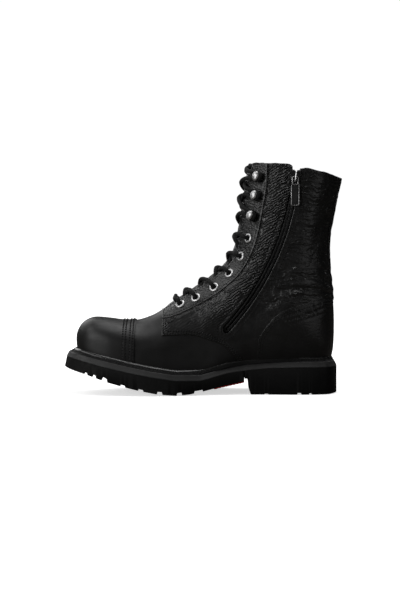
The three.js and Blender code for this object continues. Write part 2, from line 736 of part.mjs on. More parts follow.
// One end of the lace, from the first eyelet on this side up to its tip inside the shaft.
function laceEnd(firstSide) {
  const stops = [...eyeletSeats, ...hookSeats];
  const route = [];
  let side = firstSide;
  stops.forEach((pair, index) => {
    const spot = side < 0 ? pair.medial : pair.lateral;
    const isHook = index >= eyeletSeats.length;
    route.push(...(isHook ? roundHook(spot, 0.3) : throughEyelet(spot, 0.25)));
    const last = index === stops.length - 1;
    const nextU = last ? spot.u + 0.8 : stops[index + 1].medial.u;
    const onTop = (side < 0) === (index % 2 === 0);
    const lift = isHook ? 3 : 0;
    route.push(throatMiddle((spot.u + nextU) / 2, lift + (onTop ? CROSS_HIGH : CROSS_LOW)));
    side = -side;
  });
  const tuck = 7 * side;
  route.push(
    new THREE.Vector3(52.5, tuck, 252.6),
    new THREE.Vector3(59.5, tuck, 253.9),
    new THREE.Vector3(65.5, tuck, 250),
    new THREE.Vector3(67, tuck * 1.1, 240),
    new THREE.Vector3(65.5, tuck * 1.2, 215),
    new THREE.Vector3(63, tuck * 1.3, 190),
    new THREE.Vector3(60, tuck * 1.3, 165),
    new THREE.Vector3(58, tuck * 1.2, 140),
    new THREE.Vector3(58, tuck * 1.2, 122),
  );
  return route;
}

// The lace's rings stand exactly at the points of its route.
class LaceRoute extends THREE.CatmullRomCurve3 {
  getPointAt(u, target) {
    return this.getPoint(u, target);
  }

  getTangentAt(u, target) {
    return this.getTangent(u, target);
  }
}

function laceRoute() {
  const up = laceEnd(-1);
  const down = laceEnd(1).reverse();
  const bar = throatMiddle(eyeletSeats[0].medial.u - 0.1, 4.6);
  return [...down, bar, ...up];
}

function ring(radius, sides) {
  const shape = new THREE.Shape();
  for (let i = 0; i <= sides; i += 1) {
    const angle = (2 * Math.PI * i) / sides;
    const point = [radius * Math.cos(angle), radius * Math.sin(angle)];
    if (i === 0) shape.moveTo(...point);
    else shape.lineTo(...point);
  }
  return shape;
}

function tube(points, radius, sides) {
  const path = new LaceRoute(points, false, 'centripetal');
  return new THREE.ExtrudeGeometry(ring(radius, sides), {
    steps: points.length - 1, bevelEnabled: false, extrudePath: path,
  });
}

function makeAglet(end, before) {
  const way = end.clone().sub(before).normalize();
  const start = end.clone().addScaledVector(way, GAP);
  return tube([start, start.clone().addScaledVector(way, 12), start.clone().addScaledVector(way, 24)], 1.9, 8);
}

// ---------------------------------------------------------------- zip

const TAPE_FRONT_Y = ZIP_FACE + LEATHER + 1.5 * GAP;
const TAPE_BACK_Y = TAPE_FRONT_Y + 0.7;
const TEETH_FRONT_Y = ZIP_FACE;
const TEETH_BACK_Y = ZIP_FACE + 2.4;
const PLATE_FRONT_Y = ZIP_FACE - 2;
const PLATE_BACK_Y = ZIP_FACE - 0.7;

function makeZipStrip(side, from, to, yFront, yBack, topAngle, endAngle) {
  const [low, high] = side < 0 ? [-to, -from] : [from, to];
  return prism(zipBand(low, high, endAngle, topAngle), yFront, yBack);
}

const sliderShape = [[-5.6, 6.4], [5.6, 6.4], [5.6, 1], [4.2, -6.4], [-4.2, -6.4], [-5.6, 1]];

// Slider about its own middle: x across the zip, z up along it, y towards the foot.
function makeSlider() {
  const front = prism(sliderShape, PLATE_FRONT_Y, PLATE_BACK_Y);
  const back = prism(sliderShape, TAPE_BACK_Y + GAP, TAPE_BACK_Y + GAP + 1.1);
  const wedge = block(-1, 1, PLATE_BACK_Y - 0.4, TAPE_BACK_Y + GAP + 0.4, 2.2, 4.6);
  const archOut = PLATE_FRONT_Y - 4.4;
  const arch = block(-0.8, 0.8, archOut, PLATE_FRONT_Y + 0.4, -6, 5);
  const window = block(-2, 2, archOut + 1, PLATE_FRONT_Y, -5, 4);
  return front.add(back).add(wedge).add(arch.subtract(window));
}

const PULL_PIVOT = new THREE.Vector3(102.2, PLATE_FRONT_Y - 1.7, 239.6);

// Pull tab about its pivot: hangs down -Z.
function makePull() {
  const thick = 0.7;
  const loop = block(-3.8, 3.8, -thick, thick, -9, 0.9).subtract(block(-2.3, 2.3, -2, 2, -7.4, -0.9));
  const tab = block(-4.8, 4.8, -thick, thick, -31.4, -8.4);
  const inset = block(-3.3, 3.3, -thick - 1, -thick + 0.4, -29.8, -12);
  return loop.add(tab.subtract(inset));
}

// ---------------------------------------------------------------- assembly

const finishes = {
  smoothLeather: { color: 0x17161a, roughness: 0.38, metalness: 0 },
  grainLeather: { color: 0x141315, roughness: 0.5, metalness: 0 },
  lining: { color: 0x1b1a1b, roughness: 0.85, metalness: 0 },
  rubber: { color: 0x101011, roughness: 0.62, metalness: 0 },
  redRubber: { color: 0x9c1414, roughness: 0.5, metalness: 0 },
  cork: { color: 0x8a6238, roughness: 0.9, metalness: 0 },
  board: { color: 0x6d5a43, roughness: 0.9, metalness: 0 },
  steel: { color: 0x8f9296, roughness: 0.35, metalness: 1 },
  hardware: { color: 0xa9a8a4, roughness: 0.3, metalness: 1 },
  lace: { color: 0x0d0d0e, roughness: 0.8, metalness: 0 },
  tape: { color: 0x0f0f10, roughness: 0.75, metalness: 0 },
  zipTeeth: { color: 0x151516, roughness: 0.35, metalness: 0.3 },
};

const boot = new THREE.Group();

function addPiece(name, shape, finish, parent = boot) {
  const geometry = shape.isBufferGeometry ? shape : toGeometry(shape);
  const mesh = new THREE.Mesh(geometry, new THREE.MeshStandardMaterial(finishes[finish]));
  mesh.name = name;
  parent.add(mesh);
  return mesh;
}

addPiece('outsole_forefoot', makeForefootSole(), 'rubber');
addPiece('outsole_heel', makeHeel(), 'rubber');
addPiece('arch_insert', makeArchInsert(), 'redRubber');
addPiece('midsole', makeMidsole(), 'rubber');
addPiece('welt', makeWelt(), 'rubber');
addPiece('cork_filler', makeCorkFiller(), 'cork');
addPiece('steel_shank', makeShank(), 'steel');
addPiece('insole_board', makeInnerSlab(BOARD_LOW, BOARD_HIGH, LINING_IN - 0.4), 'board');
addPiece('footbed', makeInnerSlab(FOOTBED_LOW, FOOTBED_HIGH, LINING_IN - 0.4), 'lining');

addPiece('toe_cap', makeToeCap(), 'smoothLeather');
addPiece('steel_toe', makeSteelToe(), 'steel');
addPiece('vamp', makeVamp(), 'smoothLeather');
addPiece('vamp_lining', makeVampLining(), 'lining');
const shaftLinings = makeShaftLinings();
addPiece('shaft_lining_front', shaftLinings.front, 'lining');
addPiece('shaft_lining_rear', shaftLinings.rear, 'lining');
addPiece('heel_lining', makeHeelLining(), 'lining');
addPiece('heel_counter', makeCounter(), 'grainLeather');
addPiece('heel_stiffener', makeStiffener(), 'board');
addPiece('backstay', makeBackstay(), 'grainLeather');
addPiece('tongue', makeTongue(), 'grainLeather');

for (const [name, side] of Object.entries(SIDES)) {
  const holes = wasm.Manifold.union(eyeletSeats.map((pair) => holePunch(pair[name])));
  addPiece(`quarter_${name}`, makeQuarter(side, holes), 'grainLeather');
  addPiece(`facing_${name}`, makeFacing(side, holes), 'grainLeather');
  eyeletSeats.forEach((pair, index) => {
    addPiece(`eyelet_${name}_${index + 1}`, makeEyelet(pair[name]), 'hardware');
  });
  hookSeats.forEach((pair, index) => {
    addPiece(`hook_${name}_${index + 1}`, makeHook(pair[name]), 'hardware');
  });
}

const route = laceRoute();
addPiece('lace', tube(route, LACE_RADIUS, 8), 'lace');
addPiece('aglet_medial', makeAglet(route.at(-1), route.at(-2)), 'hardware');
addPiece('aglet_lateral', makeAglet(route[0], route[1]), 'hardware');

for (const [name, side] of [['front', -1], ['rear', 1]]) {
  addPiece(`zip_tape_${name}`,
    makeZipStrip(side, 3.3, 13, TAPE_FRONT_Y, TAPE_BACK_Y, ZIP_TOP, ZIP_END - 0.4), 'tape');
  addPiece(`zip_chain_${name}`,
    makeZipStrip(side, 0.15, 3, TEETH_FRONT_Y, TEETH_BACK_Y, SLIDER_ANGLE - 0.1, ZIP_END), 'zipTeeth');
  addPiece(`zip_top_stop_${name}`,
    makeZipStrip(side, 1.4, 3, TEETH_FRONT_Y, TEETH_BACK_Y, ZIP_TOP - 0.1, ZIP_TOP - 0.5), 'hardware');
}
addPiece('zip_bottom_stop', prism(zipBand(-2.6, 2.6, ZIP_END - 0.5, ZIP_END - 0.1), TEETH_FRONT_Y, TEETH_BACK_Y), 'hardware');

const sliderTurn = THREE.MathUtils.degToRad(SLIDER_ANGLE);
const sliderMesh = addPiece('zip_slider', makeSlider(), 'hardware');
sliderMesh.rotation.y = -sliderTurn;
sliderMesh.position.set(
  ZIP_CENTRE.x + ZIP_RADIUS * Math.cos(sliderTurn), 0, ZIP_CENTRE.y + ZIP_RADIUS * Math.sin(sliderTurn));

const pullMesh = addPiece('zip_pull', makePull(), 'hardware');
pullMesh.position.copy(PULL_PIVOT);

export default boot;
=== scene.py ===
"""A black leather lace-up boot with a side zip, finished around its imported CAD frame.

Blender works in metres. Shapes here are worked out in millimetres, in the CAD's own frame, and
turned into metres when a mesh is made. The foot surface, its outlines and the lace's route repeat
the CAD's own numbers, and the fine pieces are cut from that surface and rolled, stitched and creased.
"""

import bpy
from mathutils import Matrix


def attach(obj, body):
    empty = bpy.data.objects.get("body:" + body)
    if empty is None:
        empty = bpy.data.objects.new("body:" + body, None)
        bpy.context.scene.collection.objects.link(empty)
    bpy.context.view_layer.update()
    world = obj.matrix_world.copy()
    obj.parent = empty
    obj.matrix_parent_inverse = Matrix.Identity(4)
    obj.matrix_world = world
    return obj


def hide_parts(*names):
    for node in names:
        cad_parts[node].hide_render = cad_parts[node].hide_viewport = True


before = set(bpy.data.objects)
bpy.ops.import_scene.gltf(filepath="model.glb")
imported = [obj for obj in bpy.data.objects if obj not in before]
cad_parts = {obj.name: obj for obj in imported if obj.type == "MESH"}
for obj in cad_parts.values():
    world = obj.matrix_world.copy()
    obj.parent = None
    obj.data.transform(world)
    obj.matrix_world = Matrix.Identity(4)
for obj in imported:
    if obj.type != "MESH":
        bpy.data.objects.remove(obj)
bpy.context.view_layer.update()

import itertools
import math

import bpy
import numpy as np
from mathutils import Vector

MM = 0.001
SHARP_ANGLE = 45
PLAN_STEP = 1.5
PLAN_SNAP = 0.1
EYELET_HOLE = 3.35
ZIP_GAP = 4.0
SEAM_ROWS = (2.0, 4.6)
TOE_ROWS = (2.4, 5.6, 10.2, 13.4)

# ------ sizes shared with the CAD, in millimetres and degrees

BAND = 6.5
BEVEL = 2.6
WELT = 3.6
LUG_DEPTH = 5.0
TOE_LEAN = 2.2
HEEL_BREAST = 46.0
UPPER_FOOT = 0.8
FOOTBED_LOW = 4.9
ZIP_CENTRE = (-188.0, 270.0)
ZIP_RADIUS = 291.0
ZIP_TOP = -4.3
ZIP_END = -42.8
ZIP_FACE = -41.0
ZIP_FLAT = 12.0
ZIP_FADE = 40.0
SLIDER_ANGLE = -5.8
THROAT_FOOT = 15.0
THROAT_HEAD = 20.5
THROAT_LENGTH = 205.0
THROAT_START = np.array([-45.0, 0.0, 93.0])
THROAT_WAY = np.array([0.508, 0.0, 0.861])
METAL_SEAT = 2.1
LACE_RADIUS = 2.2

# ridge x, z | base x, z | middle y | inner, outer half-width | roundness of top, bottom
SECTIONS = np.array([
    [-142, 61, -142, 61, -6, 0, 0, 2.2, 2.6],
    [-139.6, 71.5, -139.8, 46, -6, 15, 15, 2.2, 2.6],
    [-133, 80, -133.5, 38, -6, 27, 26, 2.3, 3],
    [-122, 84.6, -122, 31.5, -5, 36, 34, 2.5, 3.6],
    [-106, 83.8, -105, 25, -4.5, 41.5, 40, 2.5, 4],
    [-88, 81.8, -86, 19.5, -4, 43.5, 45, 2.3, 4],
    [-70, 83.4, -65, 14, -3.5, 44, 49.5, 2, 4],
    [-52, 90.5, -42, 11, -3, 43.2, 52, 1.9, 4],
    [-34, 103, -15, 11, -2.5, 41, 50.5, 1.9, 3.8],
    [-14, 116.2, 15, 16, -2, 38.8, 47.5, 1.9, 3.4],
    [5, 129.2, 48, 23, -1.5, 39.5, 44, 1.9, 3],
    [20, 141.5, 85, 22, -1, 41.2, 42, 2, 2.8],
    [30, 154.3, 120, 22, -0.5, 42.4, 42, 2, 2.6],
    [35.6, 167.6, 143, 38, 0, 43.5, 42.5, 2.1, 2.5],
    [38.2, 181.5, 147, 75, 0, 42.7, 42.5, 2.2, 2.4],
    [40.6, 195.5, 145.5, 110, 0, 41.8, 42, 2.2, 2.3],
    [43, 210, 142.5, 145, 0, 41.4, 41.6, 2.2, 2.2],
    [45.2, 225, 142.5, 175, 0, 41, 41.4, 2.2, 2.2],
    [47.6, 240.5, 148.5, 208, 0, 41.4, 42, 2.2, 2.2],
    [50.2, 256.5, 155.2, 240, 0, 42, 43, 2.2, 2.2],
    [52, 268.5, 158, 253, 0, 42.4, 43.4, 2.2, 2.2],
])

# plan of the sole: its tip, then x with the inner and outer y, and its back
SOLE_TIP = (-155, -8)
SOLE_EDGES = [
    (-149, -28, 13), (-136, -41, 28), (-115, -50, 40.5), (-90, -54.5, 49), (-60, -56.5, 54.8),
    (-30, -53.5, 56.5), (0, -45, 54.5), (30, -38.8, 48), (55, -37, 43), (80, -38, 40.5),
    (108, -39.5, 40), (129, -37, 37), (142, -29, 29),
]
SOLE_HEEL = (150.5, 0)
# x and height of the band's top, and of the tread's underside
SOLE_TOP = np.array([
    [-155, 47.6], [-133.6, 44], [-112, 38.6], [-85, 32.3], [-58, 26.9], [-30, 22.4],
    [-3, 22], [28, 30.2], [50, 33.3], [72, 35.5], [104, 36.4], [152, 36.4],
])
TREAD = np.array([
    [-156, 29.8], [-130, 23], [-106, 14.8], [-88, 9.9], [-70, 5.5], [-50, 1.7],
    [-29, 0], [-14, 1.2], [1, 4.2], [20, 8.8], [48, 14.6],
])
# side-view outlines and places, as x and z
EYELETS = [(-25.2, 99.1), (-7.8, 106.2), (12.5, 117.9), (29.5, 133.3), (42.4, 152.1), (50.6, 172.6)]
HOOKS = [(57.4, 196.6), (61.4, 219), (63.6, 240)]
SIDES = {"medial": -1, "lateral": 1}

FACING_SEAM = [
    (-45.9, 84), (-35.8, 85.3), (-20.2, 91.6), (-4.5, 99.5), (11.4, 108.9), (25.5, 119.2),
    (38.9, 131.7), (48.3, 145.8), (54.7, 159.2), (58.6, 170.2), (63.1, 189), (66.3, 207.3),
    (69.4, 225.7), (71, 253.3), (72, 275),
]
QUARTER_EDGE = [
    (-45.9, 65.6), (-16.5, 66.1), (-4.5, 64.1), (3.4, 61.4), (11.2, 58.8), (21.3, 54.7),
    (30, 47), (39, 36), (46, 20),
]
COUNTER_EDGE = [
    (59.9, 10), (59.9, 46), (61.5, 62), (70, 76), (80, 87), (92, 94.6), (108.6, 99.7),
    (131, 104.7), (180, 108),
]
COLLAR = [
    (20, 256.3), (54, 256.5), (68, 255.6), (82, 255.1), (95.2, 254.4), (100, 249.6), (107, 249.3),
    (114, 250.2), (125, 247.6), (136, 245.3), (146.7, 242.1), (157, 239.2), (185, 231),
]

# ------ numbers and curves


def smooth_step(low, high, value):
    t = np.clip((value - low) / (high - low), 0, 1)
    return t * t * (3 - 2 * t)


def bell(distance, width):
    """1 at no distance, falling off to both sides."""
    return np.exp(-(distance / width) ** 2)


def lowest(*fields):
    """Where all the fields are positive, the result is too."""
    return np.minimum.reduce(fields)


def unit(v):
    return v / (np.linalg.norm(v, axis=-1, keepdims=True) + 1e-12)


def bisect(too_high, low, high, steps=40):
    """The greatest value that isn't too high."""
    for _ in range(steps):
        middle = (low + high) / 2
        if too_high(middle):
            high = middle
        else:
            low = middle
    return low


def cell_triangles(a, b, c, d):
    """Two triangles for each cell of a net, from its corners in order."""
    halves = (np.stack([a, c, b], -1), np.stack([a, d, c], -1))
    return np.concatenate([half.reshape(-1, 3) for half in halves])


def catmull(points, per_span=8, closed=False):
    """Points of a smooth curve through the given ones."""
    p = np.asarray(points, float)
    if closed:
        p = np.vstack([p[-1], p, p[0], p[1]])
    else:
        p = np.vstack([2 * p[0] - p[1], p, 2 * p[-1] - p[-2]])
    t = np.linspace(0, 1, per_span, endpoint=False)[:, None]
    rows = []
    for a, b, c, d in zip(p, p[1:], p[2:], p[3:]):
        rows.append(b + 0.5 * t * (c - a + t * (2 * a - 5 * b + 4 * c - d + t * (3 * (b - c) + d - a))))
    if not closed:
        rows.append(p[-2:-1])
    return np.vstack(rows)


def resample(points, step):
    """The same line with even steps of about this length."""
    p = np.asarray(points, float)
    along = np.concatenate([[0], np.cumsum(np.linalg.norm(np.diff(p, axis=0), axis=1))])
    count = max(2, int(round(along[-1] / step)) + 1)
    s = np.linspace(0, along[-1], count)
    return np.stack([np.interp(s, along, p[:, k]) for k in range(p.shape[1])], axis=1)


def sole_top(x):
    return np.interp(x, SOLE_TOP[:, 0], SOLE_TOP[:, 1])


def tread(x):
    return np.interp(x, TREAD[:, 0], TREAD[:, 1])


def lattice_noise(p, seed=0):
    """Smooth noise from -1 to 1, one cell to a unit."""
    table = np.random.default_rng(seed).uniform(-1, 1, 4096)
    base = np.floor(p).astype(np.int64)
    t = p - base
    t = t * t * (3 - 2 * t)
    total = 0
    for corner in itertools.product((0, 1), repeat=3):
        cell = base + corner
        key = cell[:, 0] * 73856093 ^ cell[:, 1] * 19349663 ^ cell[:, 2] * 83492791
        total = total + np.where(corner, t, 1 - t).prod(axis=1) * table[key % 4096]
    return total


# ------ foot surface


def section_at(u):
    """Interpolated section rows, with a mirrored row before the toe so that it closes smoothly."""
    u = np.asarray(u)
    first = SECTIONS[1].copy()
    first[[0, 1, 2, 3]] = SECTIONS[1][[2, 3, 0, 1]]
    first[[5, 6]] *= -1
    rows = np.vstack([first, SECTIONS, SECTIONS[-1]])
    start = np.clip(np.floor(u).astype(int), 0, len(SECTIONS) - 2)
    t = (u - start)[..., None]
    a, b, c, d = (rows[start + k] for k in range(4))
    slope_b = (c - a) / 2
    slope_c = (d - b) / 2
    return (2 * t**3 - 3 * t**2 + 1) * b + (t**3 - 2 * t**2 + t) * slope_b \
        + (3 * t**2 - 2 * t**3) * c + (t**3 - t**2) * slope_c


def zip_place(x, z):
    """Distance across the zip from its middle line, and the angle along it in degrees."""
    dx = x - ZIP_CENTRE[0]
    dz = z - ZIP_CENTRE[1]
    return np.hypot(dx, dz) - ZIP_RADIUS, np.degrees(np.arctan2(dz, dx))


def surface_point(u, along, side):
    """along: -1 at the ridge, 1 at the base; side: -1 inner, 1 outer."""
    s = section_at(u)
    t = (along + 1) / 2
    x = s[..., 0] + (s[..., 2] - s[..., 0]) * t
    z = s[..., 1] + (s[..., 3] - s[..., 1]) * t
    power = np.where(along < 0, s[..., 7], s[..., 8])
    sideways = np.maximum(0, 1 - np.abs(along) ** power) ** (1 / power)
    y = s[..., 4] + side * sideways * np.where(side < 0, s[..., 5], s[..., 6])
    across, angle = zip_place(x, z)
    pull = (1 - smooth_step(ZIP_FLAT, ZIP_FADE, np.abs(across))) \
        * smooth_step(ZIP_END - 18, ZIP_END - 4, angle) * smooth_step(0.45, 0.8, sideways)
    y = np.where(side < 0, y + (ZIP_FACE - y) * pull, y)
    return np.stack([x, y, z], axis=-1)


def foot_grid(rows, spokes):
    """A fine triangle net of the foot surface: points, outward normals and triangles."""
    u = np.linspace(0.02, len(SECTIONS) - 1, rows)[:, None] * np.ones((1, spokes))
    angle = np.linspace(0, 2 * np.pi, spokes, endpoint=False)[None, :] * np.ones((rows, 1))
    s = section_at(u)
    cosine = np.cos(angle)
    power = np.where(cosine > 0, s[..., 7], s[..., 8])
    along = -np.sign(cosine) * np.abs(cosine) ** (2 / power)
    p = surface_point(u, along, np.where(np.sin(angle) < 0, -1, 1))
    round_foot = np.roll(p, -1, axis=1) - np.roll(p, 1, axis=1)
    normal = unit(np.cross(np.gradient(p, axis=0), round_foot))
    index = np.arange(rows * spokes).reshape(rows, spokes)
    beside = np.roll(index, -1, axis=1)
    tris = cell_triangles(index[:-1], beside[:-1], beside[1:], index[1:])
    return p.reshape(-1, 3), normal.reshape(-1, 3), tris


FINE = foot_grid(420, 280)

# ------ fields: positive inside


def line_distance(points, line):
    """Distance in the plane from each point to a line of straight pieces."""
    best = np.full(len(points), 1e9)
    line = np.asarray(line, float)
    for a, b in zip(line, line[1:]):
        way = b - a
        t = np.clip(((points - a) @ way) / max(way @ way, 1e-12), 0, 1)
        best = np.minimum(best, np.linalg.norm(points - a - t[:, None] * way, axis=1))
    return best


def inside(points, outline):
    """True for points inside a closed outline."""
    x, y = points.T
    hit = np.zeros(len(points), bool)
    ring = np.asarray(outline, float)
    for (x0, y0), (x1, y1) in zip(ring, np.roll(ring, -1, axis=0)):
        crosses = (y0 > y) != (y1 > y)
        with np.errstate(divide="ignore", invalid="ignore"):
            hit ^= crosses & (x < (x1 - x0) * (y - y0) / (y1 - y0 + 1e-15) + x0)
    return hit


def area_field(points, outline):
    closed = np.vstack([outline, outline[:1]])
    distance = line_distance(points, closed)
    return np.where(inside(points, outline), distance, -distance)


def side_view(p):
    return p[:, [0, 2]]


def within(p, outline):
    """Field of a side-view outline."""
    return area_field(side_view(p), np.asarray(outline, float))


def below_collar(p):
    line = catmull(COLLAR, 4)
    uneven = 0.35 * lattice_noise(np.stack([p[:, 0] / 5, p[:, 1] / 5, p[:, 0] * 0], 1), 3)
    return np.interp(p[:, 0], line[:, 0], line[:, 1]) - p[:, 2] + uneven


def above_sole(p, lift=UPPER_FOOT):
    return p[:, 2] - sole_top(p[:, 0]) - lift


def throat_place(p):
    """Share of the way up the laced opening, and the opening's half-width there."""
    share = (p - THROAT_START) @ THROAT_WAY / THROAT_LENGTH
    return share, THROAT_FOOT + (THROAT_HEAD - THROAT_FOOT) * share


def throat_field(p):
    """Distance outside the laced opening."""
    share, half = throat_place(p)
    away = (np.abs(p[:, 1]) - half) * 1.15
    rear = p[:, 0] - 85 - 0.1 * p[:, 2]
    return np.maximum.reduce([away, rear, -share * THROAT_LENGTH])


def zip_field(p, half):
    """Distance outside the zip's slot, which has a round lower end."""
    across, angle = zip_place(p[:, 0], p[:, 2])
    beyond = np.radians(np.maximum(ZIP_END - angle, 0)) * ZIP_RADIUS
    gap = np.hypot(across, beyond) - half
    return np.where(p[:, 1] < 0, gap, 50)


# ------ places on the surface


def section_through(x, z):
    """Where on the foot a side-view place lies: its section, and how far along the section."""
    def miss(u):
        s = section_at(u)
        return (s[2] - s[0]) * (z - s[1]) - (s[3] - s[1]) * (x - s[0])

    low, high = 5.0, len(SECTIONS) - 1.0
    rising = miss(high) > miss(low)
    u = bisect(lambda middle: (miss(middle) > 0) == rising, low, high)
    s = section_at(u)
    length = math.hypot(s[2] - s[0], s[3] - s[1])
    return u, 2 * math.hypot(x - s[0], z - s[1]) / length - 1


class Seat:
    """A place on the foot surface with its directions: out, towards the throat, and up the foot."""

    def __init__(self, u, along, side):
        def at(du, da):
            return surface_point(u + du, along + da, side)

        self.u = u
        self.side = side
        self.place = at(0, 0)
        up_foot = unit(at(0.05, 0) - at(-0.05, 0))
        round_foot = unit(at(0, 0.01) - at(0, -0.01))
        out = unit(np.cross(up_foot, round_foot))
        self.out = out if out[1] * side > 0 else -out
        self.to_throat = -round_foot
        up = np.cross(self.out, self.to_throat)
        self.up = up if up[2] > 0 else -up

    def near(self, out, to_throat=0.0, up=0.0):
        return self.place + self.out * out + self.to_throat * to_throat + self.up * up


def seat(place, side):
    """The seat at a place in the side view, on one side of the foot."""
    return Seat(*section_through(*place), side)


def seat_pairs(places):
    return [{side: seat(place, side) for side in SIDES.values()} for place in places]


def throat_edge(u, side):
    """The place on a section where the laced opening's edge crosses it."""
    def outside(along):
        point = surface_point(u, along, side)
        return abs(point[1]) > throat_place(point)[1]

    return Seat(u, bisect(outside, -0.999, -0.2, 30), side)


eyelet_seats = seat_pairs(EYELETS)
hook_seats = seat_pairs(HOOKS)

# ------ cutting meshes along fields


def split(v, tris, column, level, snap=0.07):
    """Cuts each triangle that crosses column = level, so that the line becomes edges."""
    d = v[:, column] - level
    d = np.where(np.abs(d) < snap, 0, d)
    sign = np.sign(d)[tris]
    crossing = (sign.max(1) > 0) & (sign.min(1) < 0)
    if not crossing.any():
        return v, tris
    cut = tris[crossing]
    sign = sign[crossing]
    touches = (sign == 0).any(1)
    lone = np.where((sign > 0).sum(1) == 1, np.argmax(sign > 0, 1), np.argmax(sign < 0, 1))
    lone = np.where(touches, np.argmax(sign == 0, 1), lone)
    rows = np.arange(len(cut))
    corners = [cut[rows, (lone + k) % 3] for k in range(3)]
    za, zb, zc = (corner[touches] for corner in corners)
    a, b, c = (corner[~touches] for corner in corners)
    crossed = np.vstack([np.stack(pair, 1) for pair in ((zb, zc), (a, b), (a, c))])
    edges, where = np.unique(np.sort(crossed, axis=1), axis=0, return_inverse=True)
    on_z, on_ab, on_ac = np.split(where.reshape(-1) + len(v), [len(za), len(za) + len(a)])
    near, far = d[edges[:, 0]], d[edges[:, 1]]
    t = (near / (near - far))[:, None]
    made = v[edges[:, 0]] * (1 - t) + v[edges[:, 1]] * t
    new = ((za, zb, on_z), (za, on_z, zc), (a, on_ab, on_ac), (on_ab, b, c), (on_ab, c, on_ac))
    return np.vstack([v, made]), np.vstack([tris[~crossing], *(np.stack(row, 1) for row in new)])


def split_all(v, tris, column, levels, snap=0.07):
    for level in levels:
        v, tris = split(v, tris, column, level, snap)
    return v, tris


def keep_above(v, tris, column, level, slack=0.071):
    """Drops the triangles below a level that split() has already cut along."""
    middle = v[:, column][tris]
    kept = tris[(middle.min(1) >= level - slack) & (middle.mean(1) > level)]
    used, index = np.unique(kept, return_inverse=True)
    return v[used], index.reshape(-1, 3)


def contour(v, tris, column, level):
    """The lines where column = level, as chains of rows of v."""
    d = v[:, column] - level
    d = np.where(np.abs(d) < 1e-6, 1e-6, d)
    above = (d > 0)[tris]
    mixed = above.any(1) & ~above.all(1)
    links = {}
    points = {}
    for tri, flags in zip(tris[mixed], above[mixed]):
        ends = []
        for i in range(3):
            a, b = tri[i], tri[(i + 1) % 3]
            if flags[i] == flags[(i + 1) % 3]:
                continue
            key = (min(a, b), max(a, b))
            if key not in points:
                t = d[key[0]] / (d[key[0]] - d[key[1]])
                points[key] = v[key[0]] * (1 - t) + v[key[1]] * t
            ends.append(key)
        links.setdefault(ends[0], []).append(ends[1])
        links.setdefault(ends[1], []).append(ends[0])
    chains = []
    seen = set()
    for start in sorted(links, key=lambda k: (len(links[k]), k)):
        if start in seen:
            continue
        chain = [start]
        seen.add(start)
        while True:
            onward = [k for k in links[chain[-1]] if k not in seen]
            if not onward:
                break
            chain.append(onward[0])
            seen.add(onward[0])
        if len(chain) > 3:
            if chain[0] in links[chain[-1]] and len(links[start]) == 2:
                chain.append(chain[0])
            chains.append(np.array([points[k] for k in chain]))
    return chains


def rims(tris):
    """Directed edges that belong to one triangle only."""
    edges = np.vstack([tris[:, [0, 1]], tris[:, [1, 2]], tris[:, [2, 0]]])
    keys = np.sort(edges, axis=1)
    _, first, counts = np.unique(keys, axis=0, return_index=True, return_counts=True)
    return edges[first[counts == 1]]


def wall(edge, low, high):
    """Faces between two copies of the rim, whose points start at low and at high."""
    return np.stack([edge[:, 1] + low, edge[:, 0] + low, edge[:, 0] + high, edge[:, 1] + high], 1)


def shell(front, back, tris):
    """A closed shape from a cut net and its copy behind."""
    count = len(front)
    groups = (tris, tris[:, ::-1] + count, wall(rims(tris), 0, count))
    return np.vstack([front, back]), [row for group in groups for row in group.tolist()]


# ------ materials


def new_material(name):
    material = bpy.data.materials.new(name)
    material.use_nodes = True
    tree = material.node_tree
    return material, tree, tree.nodes["Principled BSDF"]


def feed(tree, made, inputs):
    """Sets a node's inputs: another node's output is linked, anything else is a value."""
    for key, value in inputs.items():
        if isinstance(value, bpy.types.NodeSocket):
            tree.links.new(value, made.inputs[key])
        else:
            made.inputs[key].default_value = value


def node(tree, kind, inputs=None, **settings):
    made = tree.nodes.new(kind)
    for key, value in settings.items():
        setattr(made, key, value)
    feed(tree, made, inputs or {})
    return made


def maths(tree, operation, first, second):
    return node(tree, "ShaderNodeMath", {0: first, 1: second}, operation=operation).outputs[0]


def coordinates(tree, scale=(1, 1, 1), turn=(0, 0, 0)):
    """Object coordinates, so that patterns keep their real size."""
    place = node(tree, "ShaderNodeTexCoord").outputs["Object"]
    settings = {"Vector": place, "Scale": scale, "Rotation": turn}
    return node(tree, "ShaderNodeMapping", settings).outputs["Vector"]


def ramp(tree, fac, stops):
    """Colours between two stops; a single number stands for a grey."""
    made = node(tree, "ShaderNodeValToRGB", {"Fac": fac})
    for stop, (place, colour) in zip(made.color_ramp.elements, stops):
        stop.position = place
        stop.color = (*(np.ones(3) * colour), 1)
    return made.outputs["Color"]


def bump(tree, shader, layers):
    """Stacks heights into one bump: each layer is (socket, strength, distance in metres)."""
    for height, strength, distance in layers:
        made = node(tree, "ShaderNodeBump", {"Strength": strength, "Distance": distance, "Height": height})
        if shader.inputs["Normal"].is_linked:
            tree.links.new(shader.inputs["Normal"].links[0].from_socket, made.inputs["Normal"])
        tree.links.new(made.outputs["Normal"], shader.inputs["Normal"])


def noise(tree, vector, scale, detail=4.0, rough=0.55):
    settings = {"Vector": vector, "Scale": scale, "Detail": detail, "Roughness": rough}
    return node(tree, "ShaderNodeTexNoise", settings).outputs["Fac"]


def crease_lines(tree, lean, period, gap, bend):
    """Short parallel creases that run at this lean, bent by this much; gap is where they fade out."""
    place = coordinates(tree, (1, 1, 1), (0, lean, 0))
    settings = {"Vector": place, "Scale": 0.314 / period, "Distortion": bend, "Detail": 2.5,
                "Detail Scale": 1.1, "Detail Roughness": 0.6}
    wave = node(tree, "ShaderNodeTexWave", settings, bands_direction="Z").outputs["Fac"]
    broken = ramp(tree, noise(tree, place, 130, 3), [(gap, 0.1), (gap + 0.24, 1)])
    return maths(tree, "MULTIPLY", wave, broken)


